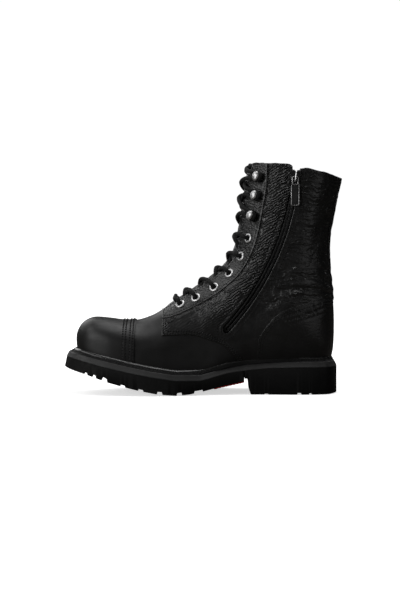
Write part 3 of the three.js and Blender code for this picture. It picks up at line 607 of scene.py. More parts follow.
def tumbled_creases(tree, place, spacing):
    """Leaning creases before the zip and flat, fainter ones behind it; they fade low on the foot."""
    flat = node(tree, "ShaderNodeVectorMath", {0: place, 1: (1, 0, 1)}, operation="MULTIPLY").outputs[0]
    centre = (ZIP_CENTRE[0] * MM, 0, ZIP_CENTRE[1] * MM)
    away = node(tree, "ShaderNodeVectorMath", {0: flat, 1: centre}, operation="DISTANCE").outputs["Value"]
    behind = node(tree, "ShaderNodeMapRange", {"Value": away, "From Min": (ZIP_RADIUS - 9) * MM,
                                               "From Max": (ZIP_RADIUS + 7) * MM}).outputs[0]
    before_zip = crease_lines(tree, 0.55, spacing, 0.36, 7.5)
    after_zip = maths(tree, "MULTIPLY", crease_lines(tree, -0.1, 1.7 * spacing, 0.42, 11.0), 0.4)
    mix = node(tree, "ShaderNodeMix", data_type="RGBA")
    feed(tree, mix, {"Factor": behind, 6: before_zip, 7: after_zip})
    height = node(tree, "ShaderNodeSeparateXYZ", {0: place}).outputs["Z"]
    mask = node(tree, "ShaderNodeMapRange", {"Value": height, "From Min": 0.085, "From Max": 0.118,
                                             "To Min": 0.12, "To Max": 1.0}).outputs[0]
    return maths(tree, "MULTIPLY", mix.outputs[2], mask)


def leather(name, dark, light, rough_low, rough_high, pebble, depth, creased=(), shine=0.5):
    """Leather: pebble is the grain's cell size in metres, depth its bump height.

    creased gives the spacing and depth of tumbled creases.
    """
    material, tree, shader = new_material(name)
    place = coordinates(tree)
    cells = node(tree, "ShaderNodeTexVoronoi", {"Vector": coordinates(tree, (0.8, 0.8, 1.3), (0, 0.25, 0)),
                                                "Scale": 1 / pebble, "Randomness": 1.0}, feature="SMOOTH_F1")
    rounded = ramp(tree, cells.outputs["Distance"], [(0.15, 1), (0.75, 0)])
    layers = [(noise(tree, place, 1800, 3), 0.25, 0.00003), (rounded, 0.8, depth)]
    if creased:
        layers.append((tumbled_creases(tree, place, creased[0]), 1.0, creased[1]))
    bump(tree, shader, layers)
    feed(tree, shader, {
        "Base Color": ramp(tree, noise(tree, place, 28, 6), [(0.3, dark), (0.75, light)]),
        "Roughness": ramp(tree, noise(tree, place, 90, 5), [(0.3, rough_low), (0.7, rough_high)]),
        "Specular IOR Level": shine,
    })
    return material


def rubber(name, dark, light, rough, speckle, shine=0.5):
    material, tree, shader = new_material(name)
    place = coordinates(tree)
    feed(tree, shader, {
        "Base Color": ramp(tree, noise(tree, place, 55, 7, 0.65), [(0.35, dark), (0.7, light)]),
        "Roughness": ramp(tree, noise(tree, place, 240, 5), [(0.3, rough - 0.1), (0.7, rough + 0.12)]),
        "Specular IOR Level": shine,
    })
    bump(tree, shader, [(noise(tree, place, 900, 4), speckle, 0.00025)])
    return material


def metal(name, dark, light, rough_low, rough_high):
    material, tree, shader = new_material(name)
    marks = noise(tree, coordinates(tree, (1, 1, 4)), 700, 5)
    feed(tree, shader, {
        "Base Color": ramp(tree, noise(tree, coordinates(tree), 420, 6, 0.7), [(0.32, dark), (0.62, light)]),
        "Roughness": ramp(tree, marks, [(0.3, rough_low), (0.7, rough_high)]),
        "Metallic": 1.0,
    })
    bump(tree, shader, [(marks, 0.25, 0.00008)])
    return material


def fabric(name, dark, light, thread, rough=0.85, sheen=0.25):
    """Woven cloth: two crossing sets of threads of this spacing in metres."""
    material, tree, shader = new_material(name)
    heights = []
    for turn in (0.785, -0.785):
        settings = {"Vector": coordinates(tree, (1, 1, 1), (turn, turn, turn)),
                    "Scale": 0.32 / thread, "Distortion": 0.4}
        heights.append(node(tree, "ShaderNodeTexWave", settings, bands_direction="X").outputs["Fac"])
    weave = maths(tree, "MULTIPLY", *heights)
    fluffy = maths(tree, "ADD", weave, noise(tree, coordinates(tree), 300, 4))
    feed(tree, shader, {
        "Base Color": ramp(tree, fluffy, [(0.45, dark), (1.0, light)]),
        "Roughness": rough,
        "Sheen Weight": sheen,
        "Specular IOR Level": 0.25,
        "Sheen Roughness": 0.5,
    })
    bump(tree, shader, [(weave, 0.6, thread * 0.5)])
    return material


# each row: dark and light tone, then the numbers that the maker above names
LOOKS = {
    leather: {
        "smooth_leather": (0.003, 0.005, 0.44, 0.54, 0.0011, 0.00004, (), 0.36),
        "grain_leather": (0.003, 0.006, 0.30, 0.42, 0.0016, 0.0001, (0.0027, 0.0014)),
        # leather of the facings and tongue, with its own coarser grain; its lighter tone than the shaft
        # leather is painted light from the left
        "facing_leather": (0.008, 0.018, 0.36, 0.48, 0.0022, 0.0006),
    },
    rubber: {
        "sole_rubber": (0.002, 0.004, 0.66, 0.4, 0.18),
        # band rubber with its own roughness and speckle; its lighter tone than the sole rubber is painted
        # light from above on the band
        "band_rubber": (0.006, 0.014, 0.55, 0.6, 0.45),
        # glossier welt rubber, lighter in tone than the sole rubber: the lighter tone is a painted highlight
        # along the bead's top
        "welt_rubber": (0.008, 0.016, 0.3, 0.03),
        "red_rubber": ((0.30, 0.008, 0.006), (0.42, 0.015, 0.01), 0.45, 0.3),
        "pull_panel": (0.008, 0.02, 0.5, 0.4, 0.3),
        "zip_teeth": (0.004, 0.008, 0.5, 0.2, 0.3),
        "aglet": (0.006, 0.012, 0.2, 0.1),
    },
    metal: {
        "eyelet_metal": (0.3, 0.75, 0.38, 0.55),
        "hook_metal": (0.2, 0.7, 0.38, 0.56),
        "zip_metal": (0.4, 0.8, 0.36, 0.5),
        "slider_body": (0.02, 0.07, 0.34, 0.5),
        "slider_metal": (0.14, 0.42, 0.32, 0.48),
        "black_metal": (0.012, 0.03, 0.3, 0.45),
        "steel": (0.35, 0.5, 0.3, 0.45),
    },
    fabric: {
        "zip_tape": (0.002, 0.008, 0.0006, 0.85, 0.05),
        "lining": (0.010, 0.030, 0.0011),
        "footbed": (0.018, 0.05, 0.0014),
        "thread": (0.002, 0.007, 0.0003, 0.75, 0.0),
        "lace": (0.0015, 0.006, 0.0007, 0.85, 0.02),
        "board": ((0.2, 0.15, 0.09), (0.3, 0.23, 0.15), 0.0012),
    },
}
MATERIALS = {name: maker(name, *numbers) for maker, rows in LOOKS.items() for name, numbers in rows.items()}

# ------ making objects


def add_object(name, data):
    made = bpy.data.objects.new(name, data)
    bpy.context.collection.objects.link(made)
    return made


def build(name, shape, material, nodes=(), body="boot"):
    """Makes an object from a (millimetre points, faces) shape, and hands it to the frame."""
    points, faces = shape
    mesh = bpy.data.meshes.new(name)
    mesh.from_pydata((np.asarray(points) * MM).tolist(), [], faces)
    mesh.validate()
    mesh.shade_smooth()
    mesh.set_sharp_from_angle(angle=math.radians(SHARP_ANGLE))
    mesh.materials.append(MATERIALS[material])
    made = add_object(name, mesh)
    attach(made, body)
    if nodes:
        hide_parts(*nodes)
    return made


def paint_faces(made, material, chosen):
    """A second material on the faces whose corners are all chosen."""
    made.data.materials.append(MATERIALS[material])
    for face in made.data.polygons:
        if all(chosen[index] for index in face.vertices):
            face.material_index = 1


def join_parts(parts):
    """Stacks shapes into one."""
    faces = []
    start = 0
    for points, part_faces in parts:
        faces.extend([[index + start for index in face] for face in part_faces])
        start += len(points)
    return np.vstack([points for points, _ in parts]), faces


def loft(rings, closed_ends=True, closed_way=False):
    """Skins a stack of rings that all have the same number of points."""
    rings = np.asarray(rings, float)
    count, sides = rings.shape[:2]
    faces = []
    for i in range(count if closed_way else count - 1):
        j = (i + 1) % count
        for k in range(sides):
            m = (k + 1) % sides
            faces.append([i * sides + k, i * sides + m, j * sides + m, j * sides + k])
    if closed_ends and not closed_way:
        faces.append(list(range(sides))[::-1])
        faces.append([(count - 1) * sides + k for k in range(sides)])
    return rings.reshape(-1, 3), faces


def circle(centre, across, up, radius, sides):
    """A ring of points; radius is one number, or one for each point in a column."""
    angle = np.linspace(0, 2 * np.pi, sides, endpoint=False)[:, None]
    return centre + radius * (np.cos(angle) * across + np.sin(angle) * up)


def frames_along(path):
    """Two steady cross directions at each point of a path."""
    way = unit(np.gradient(path, axis=0))
    across = unit(np.cross(way[0], [0.3, 0.9, 0.31]))
    sides = []
    for t in way:
        across = unit(across - t * (across @ t))
        sides.append(across)
    return np.array(sides), np.cross(way, sides)


def rod(path, radii, sides=12):
    """A round bar; radii is one number or one for each point of the path."""
    path = np.asarray(path, float)
    sizes = np.broadcast_to(radii, len(path))
    return loft([circle(*ring, sides) for ring in zip(path, *frames_along(path), sizes)])


def lathe(profile, segments, spot, shift=0.0, squeeze=1.0):
    """Spins a profile of (radius, height) about a seat's outward direction; squeeze narrows it sideways."""
    centre = spot.place + spot.to_throat * shift
    across = spot.to_throat * squeeze
    return [circle(centre + spot.out * height, across, spot.up, radius, segments)
            for radius, height in profile]


# place along the stitch, height and thickness, from hole to hole
STITCH = [(-0.5, -0.42, 0.7), (-0.3, 0.02, 1.0), (0, 0.16, 1.05), (0.3, 0.02, 1.0), (0.5, -0.42, 0.7)]
STITCH_SIDES = 6
SHORTEST_STEP = 0.5


def thread_stitches(path, normals, pitch=2.9, length=2.2, radius=0.34, lift=0.1, slant=0.0):
    """Short thread bridges along a path, as shapes."""
    even = resample(np.hstack([path, normals]), pitch)
    parts = []
    for here, after in zip(even, even[1:]):
        size = np.linalg.norm(after[:3] - here[:3])
        if size < SHORTEST_STEP or size > 2 * pitch:
            continue
        out = unit(here[3:])
        way = unit(after[:3] - here[:3])
        turned = way * math.cos(slant) + np.cross(out, way) * math.sin(slant)
        across = np.cross(out, turned)
        middle = (here[:3] + after[:3]) / 2 + out * lift
        rings = []
        for t, height, thick in STITCH:
            centre = middle + turned * (t * length) + out * height
            rings.append(circle(centre, across, out, thick * radius, STITCH_SIDES))
        parts.append(loft(rings))
    return parts


# ------ leather panels


# columns of a panel's net, after each point and its normal
FIELD = 6
OPEN_FIELD = 7
SCRATCH = 8
LOOSE_EDGE = -4
GROOVE_DEPTH = 0.16
GROOVE_HALF = 0.58


class Panel:
    """A piece of leather cut from the foot surface by a field, with rolled edges."""

    def __init__(self, field, out, inn, roll=1.0, grooves=(), holes=None, relief=None):
        p, n, tris = FINE
        f = field(p)
        tris = tris[(f[tris] > LOOSE_EDGE).any(1)]
        used, index = np.unique(tris, return_inverse=True)
        tris = index.reshape(-1, 3)
        open_field = f[used]
        full = open_field if holes is None else np.minimum(open_field, holes(p[used]))
        v = np.hstack([p[used], n[used], full[:, None], open_field[:, None]])
        v, tris = split_all(v, tris, FIELD, (0, roll * 0.12, roll * 0.4, roll))
        lines = [(away, level) for away, levels in grooves for level in levels]
        for away, level in lines:
            for step in (-0.6, 0, 0.6):
                v = np.column_stack([v[:, :SCRATCH], away(v[:, :3])])
                v, tris = split(v, tris, SCRATCH, level + step)
        v, tris = keep_above(v[:, :SCRATCH], tris, FIELD, 0)
        v[:, 3:6] = unit(v[:, 3:6])
        f = np.maximum(v[:, FIELD], 0)
        rounding = np.sqrt(np.maximum(0, 1 - (1 - np.minimum(f / roll, 1)) ** 2))
        height = inn + (out - inn) * (0.3 + 0.7 * rounding)
        for away, level in lines:
            away_from_groove = np.abs(away(v[:, :3]) - level)
            height = height - GROOVE_DEPTH * np.maximum(0, 1 - away_from_groove / GROOVE_HALF)
        if relief is not None:
            height = height + relief(v[:, :3]) * smooth_step(0, 3, f)
        self.base = v[:, :3]
        self.normals = v[:, 3:6]
        self.edge_distance = v[:, OPEN_FIELD]
        self.tris = tris
        self.height = height
        self.outer = self.base + self.normals * height[:, None]
        self.inner = self.base + self.normals * inn

    def make(self, name, material, nodes):
        return build(name, shell(self.outer, self.inner, self.tris), material, nodes)

    def sew(self, values, levels, allowed=None, **settings):
        """Stitches along the lines where values, one for each point, equal the levels."""
        v = np.hstack([self.base, self.normals, values[:, None], self.outer])
        parts = []
        for level in levels:
            for chain in contour(v, self.tris, FIELD, level):
                parts.extend(stitch_run(chain[:, 7:10], chain[:, 3:6], allowed, **settings))
        return parts


def stitch_run(path, normals, allowed, **settings):
    """Stitches on the stretches of a path where allowed(points) is true."""
    ok = np.ones(len(path), bool) if allowed is None else allowed(path)
    changes = np.flatnonzero(ok[1:] != ok[:-1]) + 1
    parts = []
    for rows in np.split(np.arange(len(ok)), changes):
        if ok[rows[0]] and (len(rows) > 3 or allowed is None):
            parts.extend(thread_stitches(path[rows], normals[rows], **settings))
    return parts


def eyelet_holes(p):
    """Distance outside the nearest eyelet hole."""
    best = np.full(len(p), 50.0)
    for pair in eyelet_seats:
        for spot in pair.values():
            away = p - spot.place
            close = np.linalg.norm(away, axis=1) < 12
            radial = away - np.outer(away @ spot.out, spot.out)
            best = np.where(close, np.minimum(best, np.linalg.norm(radial, axis=1) - EYELET_HOLE), best)
    return best


# side-view line, depth and width of each fold
CREASES = [
    ([(84, 114), (104, 117), (124, 116), (141, 111)], 1.1, 2.8),
    ([(98, 108), (114, 110), (138, 106)], 0.8, 2.0),
    ([(88, 86), (108, 93), (130, 100)], 0.5, 1.2),
    ([(92, 82), (112, 88), (134, 96)], 0.55, 1.2),
    ([(96, 78.5), (116, 84.5), (138, 91)], 0.4, 1.1),
    ([(102, 96), (120, 101), (140, 105)], 0.4, 1.2),
    ([(104, 131), (124, 130), (142, 122)], 0.6, 3.0),
    ([(98, 143), (122, 141), (142, 134)], 0.45, 3.0),
    ([(66, 96), (84, 104), (104, 108)], 0.4, 3.0),
    ([(44, 118), (58, 112), (70, 100)], 0.35, 3.2),
    ([(100, 186), (122, 182), (142, 184)], 0.3, 3.6),
    ([(106, 214), (126, 209), (146, 212)], 0.3, 3.6),
    ([(58, 190), (70, 197), (80, 208)], 0.25, 3.0),
]


def crease_relief(p):
    total = np.zeros(len(p))
    for line, depth, width in CREASES:
        distance = line_distance(side_view(p), catmull(line, 5))
        total -= depth * bell(distance, width)
        total += 0.45 * depth * bell(distance - 2 * width, 1.2 * width)
    return total


SEAM_LINE = catmull(FACING_SEAM, 4)


def tumbled(p):
    """Tumbled grain in short creases, and soft folds, in millimetres."""
    lean = np.where(zip_place(p[:, 0], p[:, 2])[0] < 0, 0.6, -0.05)
    across = p[:, 0] * np.cos(lean) + p[:, 2] * np.sin(lean)
    up = p[:, 2] * np.cos(lean) - p[:, 0] * np.sin(lean)
    streak = lattice_noise(np.stack([across / 7, p[:, 1] / 7, up / 2.6], 1), 5)
    swell = lattice_noise(p / 17, 7)
    seam = line_distance(side_view(p), SEAM_LINE)
    padding = 0.45 * bell(seam - 3.2, 1.8) - 0.5 * bell(seam, 0.8)
    shows = 0.12 + 0.88 * smooth_step(88, 118, p[:, 2])
    return 0.26 * streak * shows + 0.3 * swell + padding + crease_relief(p)


def zip_lips(p):
    """Tumbled leather whose edge rolls up a little along the zip."""
    edge = zip_field(p, ZIP_GAP)
    behind = zip_place(p[:, 0], p[:, 2])[0] > 0
    sunk = np.where(behind, 0.55, 0.0) * bell(edge, 2.5)
    rolled = 0.16 * bell(edge - 1.5, 1.1) - 0.25 * bell(edge - 4.6, 0.9)
    return tumbled(p) * smooth_step(1.5, 6, edge) + rolled - sunk


def facing_relief(p):
    return 0.17 * lattice_noise(p / 2.3, 8) + 0.15 * lattice_noise(p / 8, 9)


def smooth_relief(p):
    flex = bell(p[:, 0] + 52, 16) * smooth_step(40, 80, p[:, 2])
    waves = np.sin((p[:, 0] + 0.25 * p[:, 2]) / 2.3 + lattice_noise(p / 12, 10) * 2)
    return 0.12 * lattice_noise(p / 24, 12) + 0.07 * flex * waves


def toe_line(p):
    return np.interp(p[:, 2], [20, 84], [-76.2, -74.6]) - p[:, 0]


def toe_relief(p):
    """Leather that swells between the two rows of each seam, and sinks a little beside them."""
    away = toe_line(p)
    total = smooth_relief(p)
    for middle in (4.0, 11.8):
        total += 0.35 * bell(away - middle, 0.8) - 0.15 * bell(away - middle, 3.0)
    return total


QUARTER_CURVE = catmull(QUARTER_EDGE[1:], 4).tolist()
COUNTER_CURVE = catmull(COUNTER_EDGE[1:], 4).tolist()
QUARTER_OUTLINE = QUARTER_EDGE[:1] + QUARTER_CURVE + [(180, 20), (180, 275), (20, 275), (-45.9, 140)]
COUNTER_OUTLINE = COUNTER_EDGE[:1] + COUNTER_CURVE + [(180, 10)]
FACING_OUTLINE = FACING_SEAM[:1] + catmull(FACING_SEAM[1:], 4).tolist() + [(20, 275), (-45.9, 150)]
VAMP_OUTLINE = [
    (-93.4, 10), (-93.4, 110), (-40, 110), (-40, 96), (-28, 86), (0, 72), (24, 60), (54, 38), (58, 10),
]
TACK = [(-40.6, 81.2), (-37, 82.6), (-33, 84.2), (-30.8, 84.6), (-31.6, 82.2), (-35.6, 80.4), (-39.4, 79)]


def low_front_edge(p):
    """Distance from the quarter's lower and front edges."""
    edge = line_distance(side_view(p), QUARTER_EDGE[:1] + QUARTER_CURVE)
    return np.minimum(edge, np.abs(p[:, 0] + 45.9) + np.maximum(0, p[:, 2] - 86))


def clear_of_welt(path):
    return path[:, 2] > sole_top(path[:, 0]) + WELT + 1.5


def toe_field(p):
    return np.minimum(toe_line(p), above_sole(p))


def vamp_field(p):
    return np.minimum(within(p, VAMP_OUTLINE), above_sole(p))


def counter_field(p):
    return np.minimum(within(p, COUNTER_OUTLINE), above_sole(p))


def backstay_field(p):
    width = 14.5 + 1.5 * np.cos((p[:, 2] - 180) / 38)
    return lowest(width - np.abs(p[:, 1]), p[:, 0] - 100, below_collar(p) - 0.1, p[:, 2] - 103.5)


def lining_field(p):
    return lowest(below_collar(p) - 1.2, above_sole(p, 5), throat_field(p) - 1.5, zip_field(p, 13.5))


def tongue_field(p):
    share, half = throat_place(p)
    sides = half + 8 - np.abs(p[:, 1])
    dips = 4 * bell(np.abs(p[:, 1]) - 7.5, 3)
    return lowest(sides, share * THROAT_LENGTH + 12, 80 + 0.1 * p[:, 2] - p[:, 0], 257.2 - dips - p[:, 2])


def make_uppers():
    """The outer leathers and their seams; returns the stitches."""
    toe = Panel(toe_field, 0.1, -1.1, roll=0.9, relief=toe_relief)
    toe.make("toe_cap_leather", "smooth_leather", ["toe_cap"])
    seams = []
    for level, slant in zip(TOE_ROWS, (0.6, -0.6, 0.6, -0.6)):
        seams.extend(toe.sew(toe_line(toe.base), [level], clear_of_welt, pitch=3.2, length=1.6, radius=0.8,
                             slant=slant))
    vamp = Panel(vamp_field, -1.15, -2.8, roll=0.9, relief=smooth_relief)
    vamp.make("vamp_leather", "smooth_leather", ["vamp"])
    for name, side in SIDES.items():
        seams.extend(make_quarter(name, side))
        seams.extend(make_facing(name, side))
    seams.extend(make_heel_leather())
    return seams


def make_quarter(name, side):
    """One side of the shaft: two seams on the front edge, one under the collar, two beside the zip."""
    def field(p):
        return lowest(within(p, QUARTER_OUTLINE), below_collar(p), above_sole(p), side * p[:, 1] - 0.05,
                      throat_field(p))

    def holes(p):
        f = eyelet_holes(p)
        return np.minimum(f, zip_field(p, ZIP_GAP)) if side < 0 else f

    quarter = Panel(field, 0.0, -1.5, roll=0.9, grooves=[(low_front_edge, SEAM_ROWS)],
                    relief=zip_lips if side < 0 else tumbled, holes=holes)
    quarter.make(f"quarter_{name}_leather", "grain_leather", [f"quarter_{name}"])
    p = quarter.base
    parts = quarter.sew(low_front_edge(p), SEAM_ROWS, lambda q: clear_of_welt(q) & (q[:, 2] < 84),
                        radius=0.62, lift=0.15)
    spots = [seat(place, side) for place in catmull(TACK, 3)]
    places = np.array([spot.near(0.35) for spot in spots])
    outs = np.array([spot.out for spot in spots])
    parts.extend(thread_stitches(places, outs, pitch=2.0, length=1.4, radius=0.7, lift=0.2))
    parts.extend(quarter.sew(below_collar(p), [3.2], lambda q: q[:, 0] > 74))
    if side < 0:
        parts.extend(quarter.sew(zip_field(p, ZIP_GAP), (2.2, 6.4), lambda q: q[:, 2] < 246))
    return parts


def make_facing(name, side):
    """The strip that carries the eyelets and hooks."""
    def field(p):
        return lowest(within(p, FACING_OUTLINE), below_collar(p) - 0.1, side * p[:, 1], throat_field(p))

    facing = Panel(field, 0.8, -0.1, roll=0.4, relief=facing_relief, holes=eyelet_holes)
    # the facing's lighter leather tone is painted light from the left
    facing.make(f"facing_{name}_leather", "facing_leather", [f"facing_{name}"])
    return facing.sew(facing.edge_distance, [2.1], lambda q: q[:, 2] < 252)


def make_heel_leather():
    """The counter round the heel and the strip up the back seam."""
    counter = Panel(counter_field, 0.35, -0.1, roll=0.3, relief=tumbled)
    counter.make("heel_counter_leather", "grain_leather", ["heel_counter"])
    backstay = Panel(backstay_field, 0.85, -0.1, roll=0.9, relief=tumbled)
    backstay.make("backstay_leather", "grain_leather", ["backstay"])
    distance = line_distance(side_view(counter.base), COUNTER_CURVE)
    return backstay.sew(backstay.edge_distance, [2.2], lambda q: q[:, 2] < 236) \
        + counter.sew(distance, (2.2, 4.8), clear_of_welt)


def make_linings():
    lining = Panel(lining_field, -1.7, -4.8, roll=1.5)
    linings = ["vamp_lining", "heel_lining", "shaft_lining_front", "shaft_lining_rear"]
    cloth = lining.make("fabric_lining", "lining", linings)
    tongue = Panel(tongue_field, -0.8, -4.2, roll=1.6, relief=facing_relief)
    settle_tongue(tongue)
    # the tongue shares the facing leather and its painted light
    tongue.make("tongue_leather", "facing_leather", ["tongue"])


def settle_tongue(tongue):
    """Tucks the tongue's sides under the facings, and presses it down where the lace crosses."""
    p = tongue.base
    n = tongue.normals
    share, half = throat_place(p)
    height = tongue.height - 3.9 * smooth_step(0.3, 1.0, np.abs(p[:, 1]) / half)
    height = height - 2.6 * smooth_step(9, -2, share * THROAT_LENGTH)
    reach = LACE_RADIUS + 0.35
    for start in range(0, len(p), 2000):
        rows = slice(start, start + 2000)
        away = LACE_PATH[None, ::2, :] - p[rows, None, :]
        above = np.einsum("ijk,ik->ij", away, n[rows])
        beside = np.sqrt(np.maximum(0, (away ** 2).sum(-1) - above ** 2))
        limit = above - np.sqrt(np.maximum(0, reach ** 2 - beside ** 2)) + 1.5 * np.maximum(0, beside - reach)
        limit = np.where((beside < reach + 5) & (above > -7.5), limit, 9)
        height[rows] = np.minimum(height[rows], limit.min(1))
    tongue.outer = p + n * height[:, None]
    tongue.inner = p + n * np.minimum(-4.2, height - 1.8)[:, None]


# ------ bottom unit


INNER_EDGE = [(x, inner) for x, inner, _ in SOLE_EDGES]
OUTER_EDGE = [(x, outer) for x, _, outer in reversed(SOLE_EDGES)]
SOLE_LOOP = catmull([SOLE_TIP] + INNER_EDGE + [SOLE_HEEL] + OUTER_EDGE, 12, closed=True)


def loop_inset(loop, inset):
    """Moves a counter-clockwise loop inwards."""
    way = unit(np.roll(loop, -1, axis=0) - np.roll(loop, 1, axis=0))
    return loop + inset * np.stack([-way[:, 1], way[:, 0]], axis=1)


def band_foot(x):
    return sole_top(x) - BAND


def over_sole(flat, height):
    """Plan places lifted to this height above the band's top."""
    return np.column_stack([flat, sole_top(flat[:, 0]) + height])


def toe_lean(x):
    """How far the walls lean back at the front of the toe."""
    return TOE_LEAN * smooth_step(-132, -152, x)


def lean_toe(points):
    points[:, 0] += toe_lean(points[:, 0])
    return points


def toward_middle(q, low, high):
    """From each plan place to the foot's middle line, which runs from low to high."""
    middle = np.interp(q[:, 0], [-110, 0, 100], [-6, 4, 0])
    return np.column_stack([np.clip(q[:, 0], low, high), middle]) - q


# inset and height of the band's section, from under it, round its bevel, to over it
BAND_SECTION = [
    (8, 0.1), (0.6, 0.0), (0.05, 0.3), (0.0, 0.7), (0.25, 1.1), (BEVEL - 0.2, BAND - 1.1),
    (BEVEL + 0.1, BAND - 0.4), (BEVEL + 0.8, BAND), (9, BAND),
]


def make_band():
    """The bevelled band that carries the outsole, closed over top and bottom."""
    rings = []
    for inset, height in BAND_SECTION:
        flat = loop_inset(SOLE_LOOP, inset)
        rings.append(lean_toe(over_sole(flat, height - BAND)))
    # the band's lighter rubber tone is painted light from above
    build("midsole_band", loft(rings), "band_rubber", ["midsole"])


def plan_piece(inset, low_x, high_x, edges, more=lambda q: q[:, :0]):
    """A net of the sole's plan between two places along it, cut at its edge and at small insets.

    Each row is x, y, the distance inside the edge, and whatever more(q) adds.
    """
    xs, ys = np.arange(-158, 156, PLAN_STEP), np.arange(-60, 62, PLAN_STEP)
    x, y = np.meshgrid(xs, ys, indexing="ij")
    index = np.arange(x.size).reshape(x.shape)
    tris = cell_triangles(index[:-1, :-1], index[1:, :-1], index[1:, 1:], index[:-1, 1:])
    q = np.column_stack([x.ravel(), y.ravel()])
    f = lowest(area_field(q, loop_inset(SOLE_LOOP, inset)), q[:, 0] - low_x, high_x - q[:, 0])
    v, tris = split_all(np.column_stack([q, f, more(q)]), tris, 2, edges, PLAN_SNAP)
    return keep_above(v, tris, 2, 0, PLAN_SNAP + 0.01)


# place, width and depth of each notch in the tread's side
SIDE_NOTCHES = [
    (-129, 1.9, 3.2), (-119.6, 2.6, 3.4), (-108.4, 4.8, 4.6), (-88, 3.8, 1.9), (-68.2, 4.4, 2.0),
    (-47.5, 4.4, 3.0), (-26, 4.4, 3.0), (-5, 8, 3.0),
]
HEEL_NOTCHES = [(106.4, 3.4, 1.8), (118.6, 1.8, 1.4), (70, 3, 0.8)]


def with_notches(x, y, inner, inner_depth, notches, reach):
    """Distance outside the nearest groove, inner pattern or side notch, and its depth."""
    best = np.full(len(x), 50.0)
    depth = np.full(len(x), LUG_DEPTH)
    for place, width, deep in notches:
        gap = np.maximum(np.abs(x - place) - width / 2, reach - np.abs(y))
        depth = np.where(gap < np.minimum(best, 1), deep, depth)
        best = np.minimum(best, gap)
    return np.minimum(best, inner), np.where(inner < best, inner_depth, depth)


def forefoot_grooves(q):
    """Side notches, two long channels and chevrons between them."""
    x, y = q.T
    away = np.abs(y + 2)
    inner = np.maximum.reduce([np.abs(away - 24) - 1.9, -138 - x, x - 6])
    for place in range(-132, 0, 14):
        chevron = np.abs(x - place - 0.45 * away) * 0.91 - 1.7
        inner = np.minimum(inner, np.maximum(chevron, away - 24))
    return with_notches(x, y, inner, LUG_DEPTH, SIDE_NOTCHES, 27)


def heel_grooves(q):
    """Side notches, and a ladder of channels."""
    x, y = q.T
    away = np.abs(y)
    inner = np.maximum.reduce([np.abs(away - 20) - 1.7, 66 - x, x - 134])
    for place in range(66, 135, 17):
        inner = np.minimum(inner, np.maximum(np.abs(x - place) - 1.6, away - 20))
    return with_notches(x, y, inner, LUG_DEPTH - 1, HEEL_NOTCHES, 23)


def tread_block(name, node_name, low_x, high_x, floor, grooves, creases=()):
    """An outsole block: grooved underside, walls up to the band, flat top."""
    inset = 0.5
    v, tris = plan_piece(inset, low_x, high_x, (0, 0.7), lambda q: np.column_stack([grooves(q)[0], q[:, 0]]))
    v, tris = split_all(v, tris, 3, (0, 0.9), PLAN_SNAP)
    v, tris = split_all(v, tris, 4, creases, PLAN_SNAP)
    q, edge_distance, groove_distance = v[:, :2], v[:, 2], v[:, 3]
    sunk = grooves(q)[1] * (1 - smooth_step(-0.05, 0.95, groove_distance))
    chamfer = 0.25 * (1 - smooth_step(0, 0.75, edge_distance))
    ceiling = band_foot(q[:, 0]) - 0.05
    low = np.column_stack([q, np.minimum(floor(q[:, 0]) + sunk + chamfer, ceiling - 1.5)])
    outward = -toward_middle(q, -110, 105)
    outer = q + inset * outward / (np.linalg.norm(outward, axis=1, keepdims=True) + 1e-6)
    lip = np.column_stack([outer, np.minimum(low[:, 2] + 0.5, ceiling - 1)])
    high = np.column_stack([outer, ceiling])
    high[:, 0] += toe_lean(q[:, 0])
    count = len(v)
    edge = rims(tris)
    faces = np.vstack([wall(edge, 0, 2 * count), wall(edge, 2 * count, count)]).tolist()
    faces = tris.tolist() + (tris[:, ::-1] + count).tolist() + faces
    block = build(name, (np.vstack([low, high, lip]), faces), "sole_rubber", [node_name])
    red = np.zeros(3 * count, bool)
    red[:count] = (groove_distance < 0.03) & (edge_distance > 4.5)
    paint_faces(block, "red_rubber", red)


def foot_contour(lift):
    """The foot surface's own line at a height above the sole, counter-clockwise from above."""
    p, n, tris = FINE
    v = np.hstack([p, n, (p[:, 2] - sole_top(p[:, 0]) - lift)[:, None]])
    chain = max(contour(v, tris, FIELD, 0), key=len)
    area = np.sum(chain[:, 0] * np.roll(chain[:, 1], -1) - chain[:, 1] * np.roll(chain[:, 0], -1))
    return chain if area > 0 else chain[::-1]


# share of the way from the band's edge to the leather, and height, round the welt's section
WELT_SECTION = [
    (0.0, 0.1), (-0.02, 0.4), (0.04, 0.75), (0.12, 0.85), (0.22, 1.3), (0.32, 1.8), (0.42, 2.2),
    (0.47, 2.6), (0.48, 3.1), (0.50, 3.5), (0.80, 5.3), (0.88, 5.45), (1.0, 5.3), (1.2, 4.2),
    (1.35, 2.5), (1.35, 0.1),
]
# section points, in the loft's reversed order, of the bead's top: they take the glossier rubber whose lighter
# tone is a painted highlight
BEAD_GLOSS_AND_PAINTED_HIGHLIGHT = range(2, 8)
STITCHED_LINE = 5


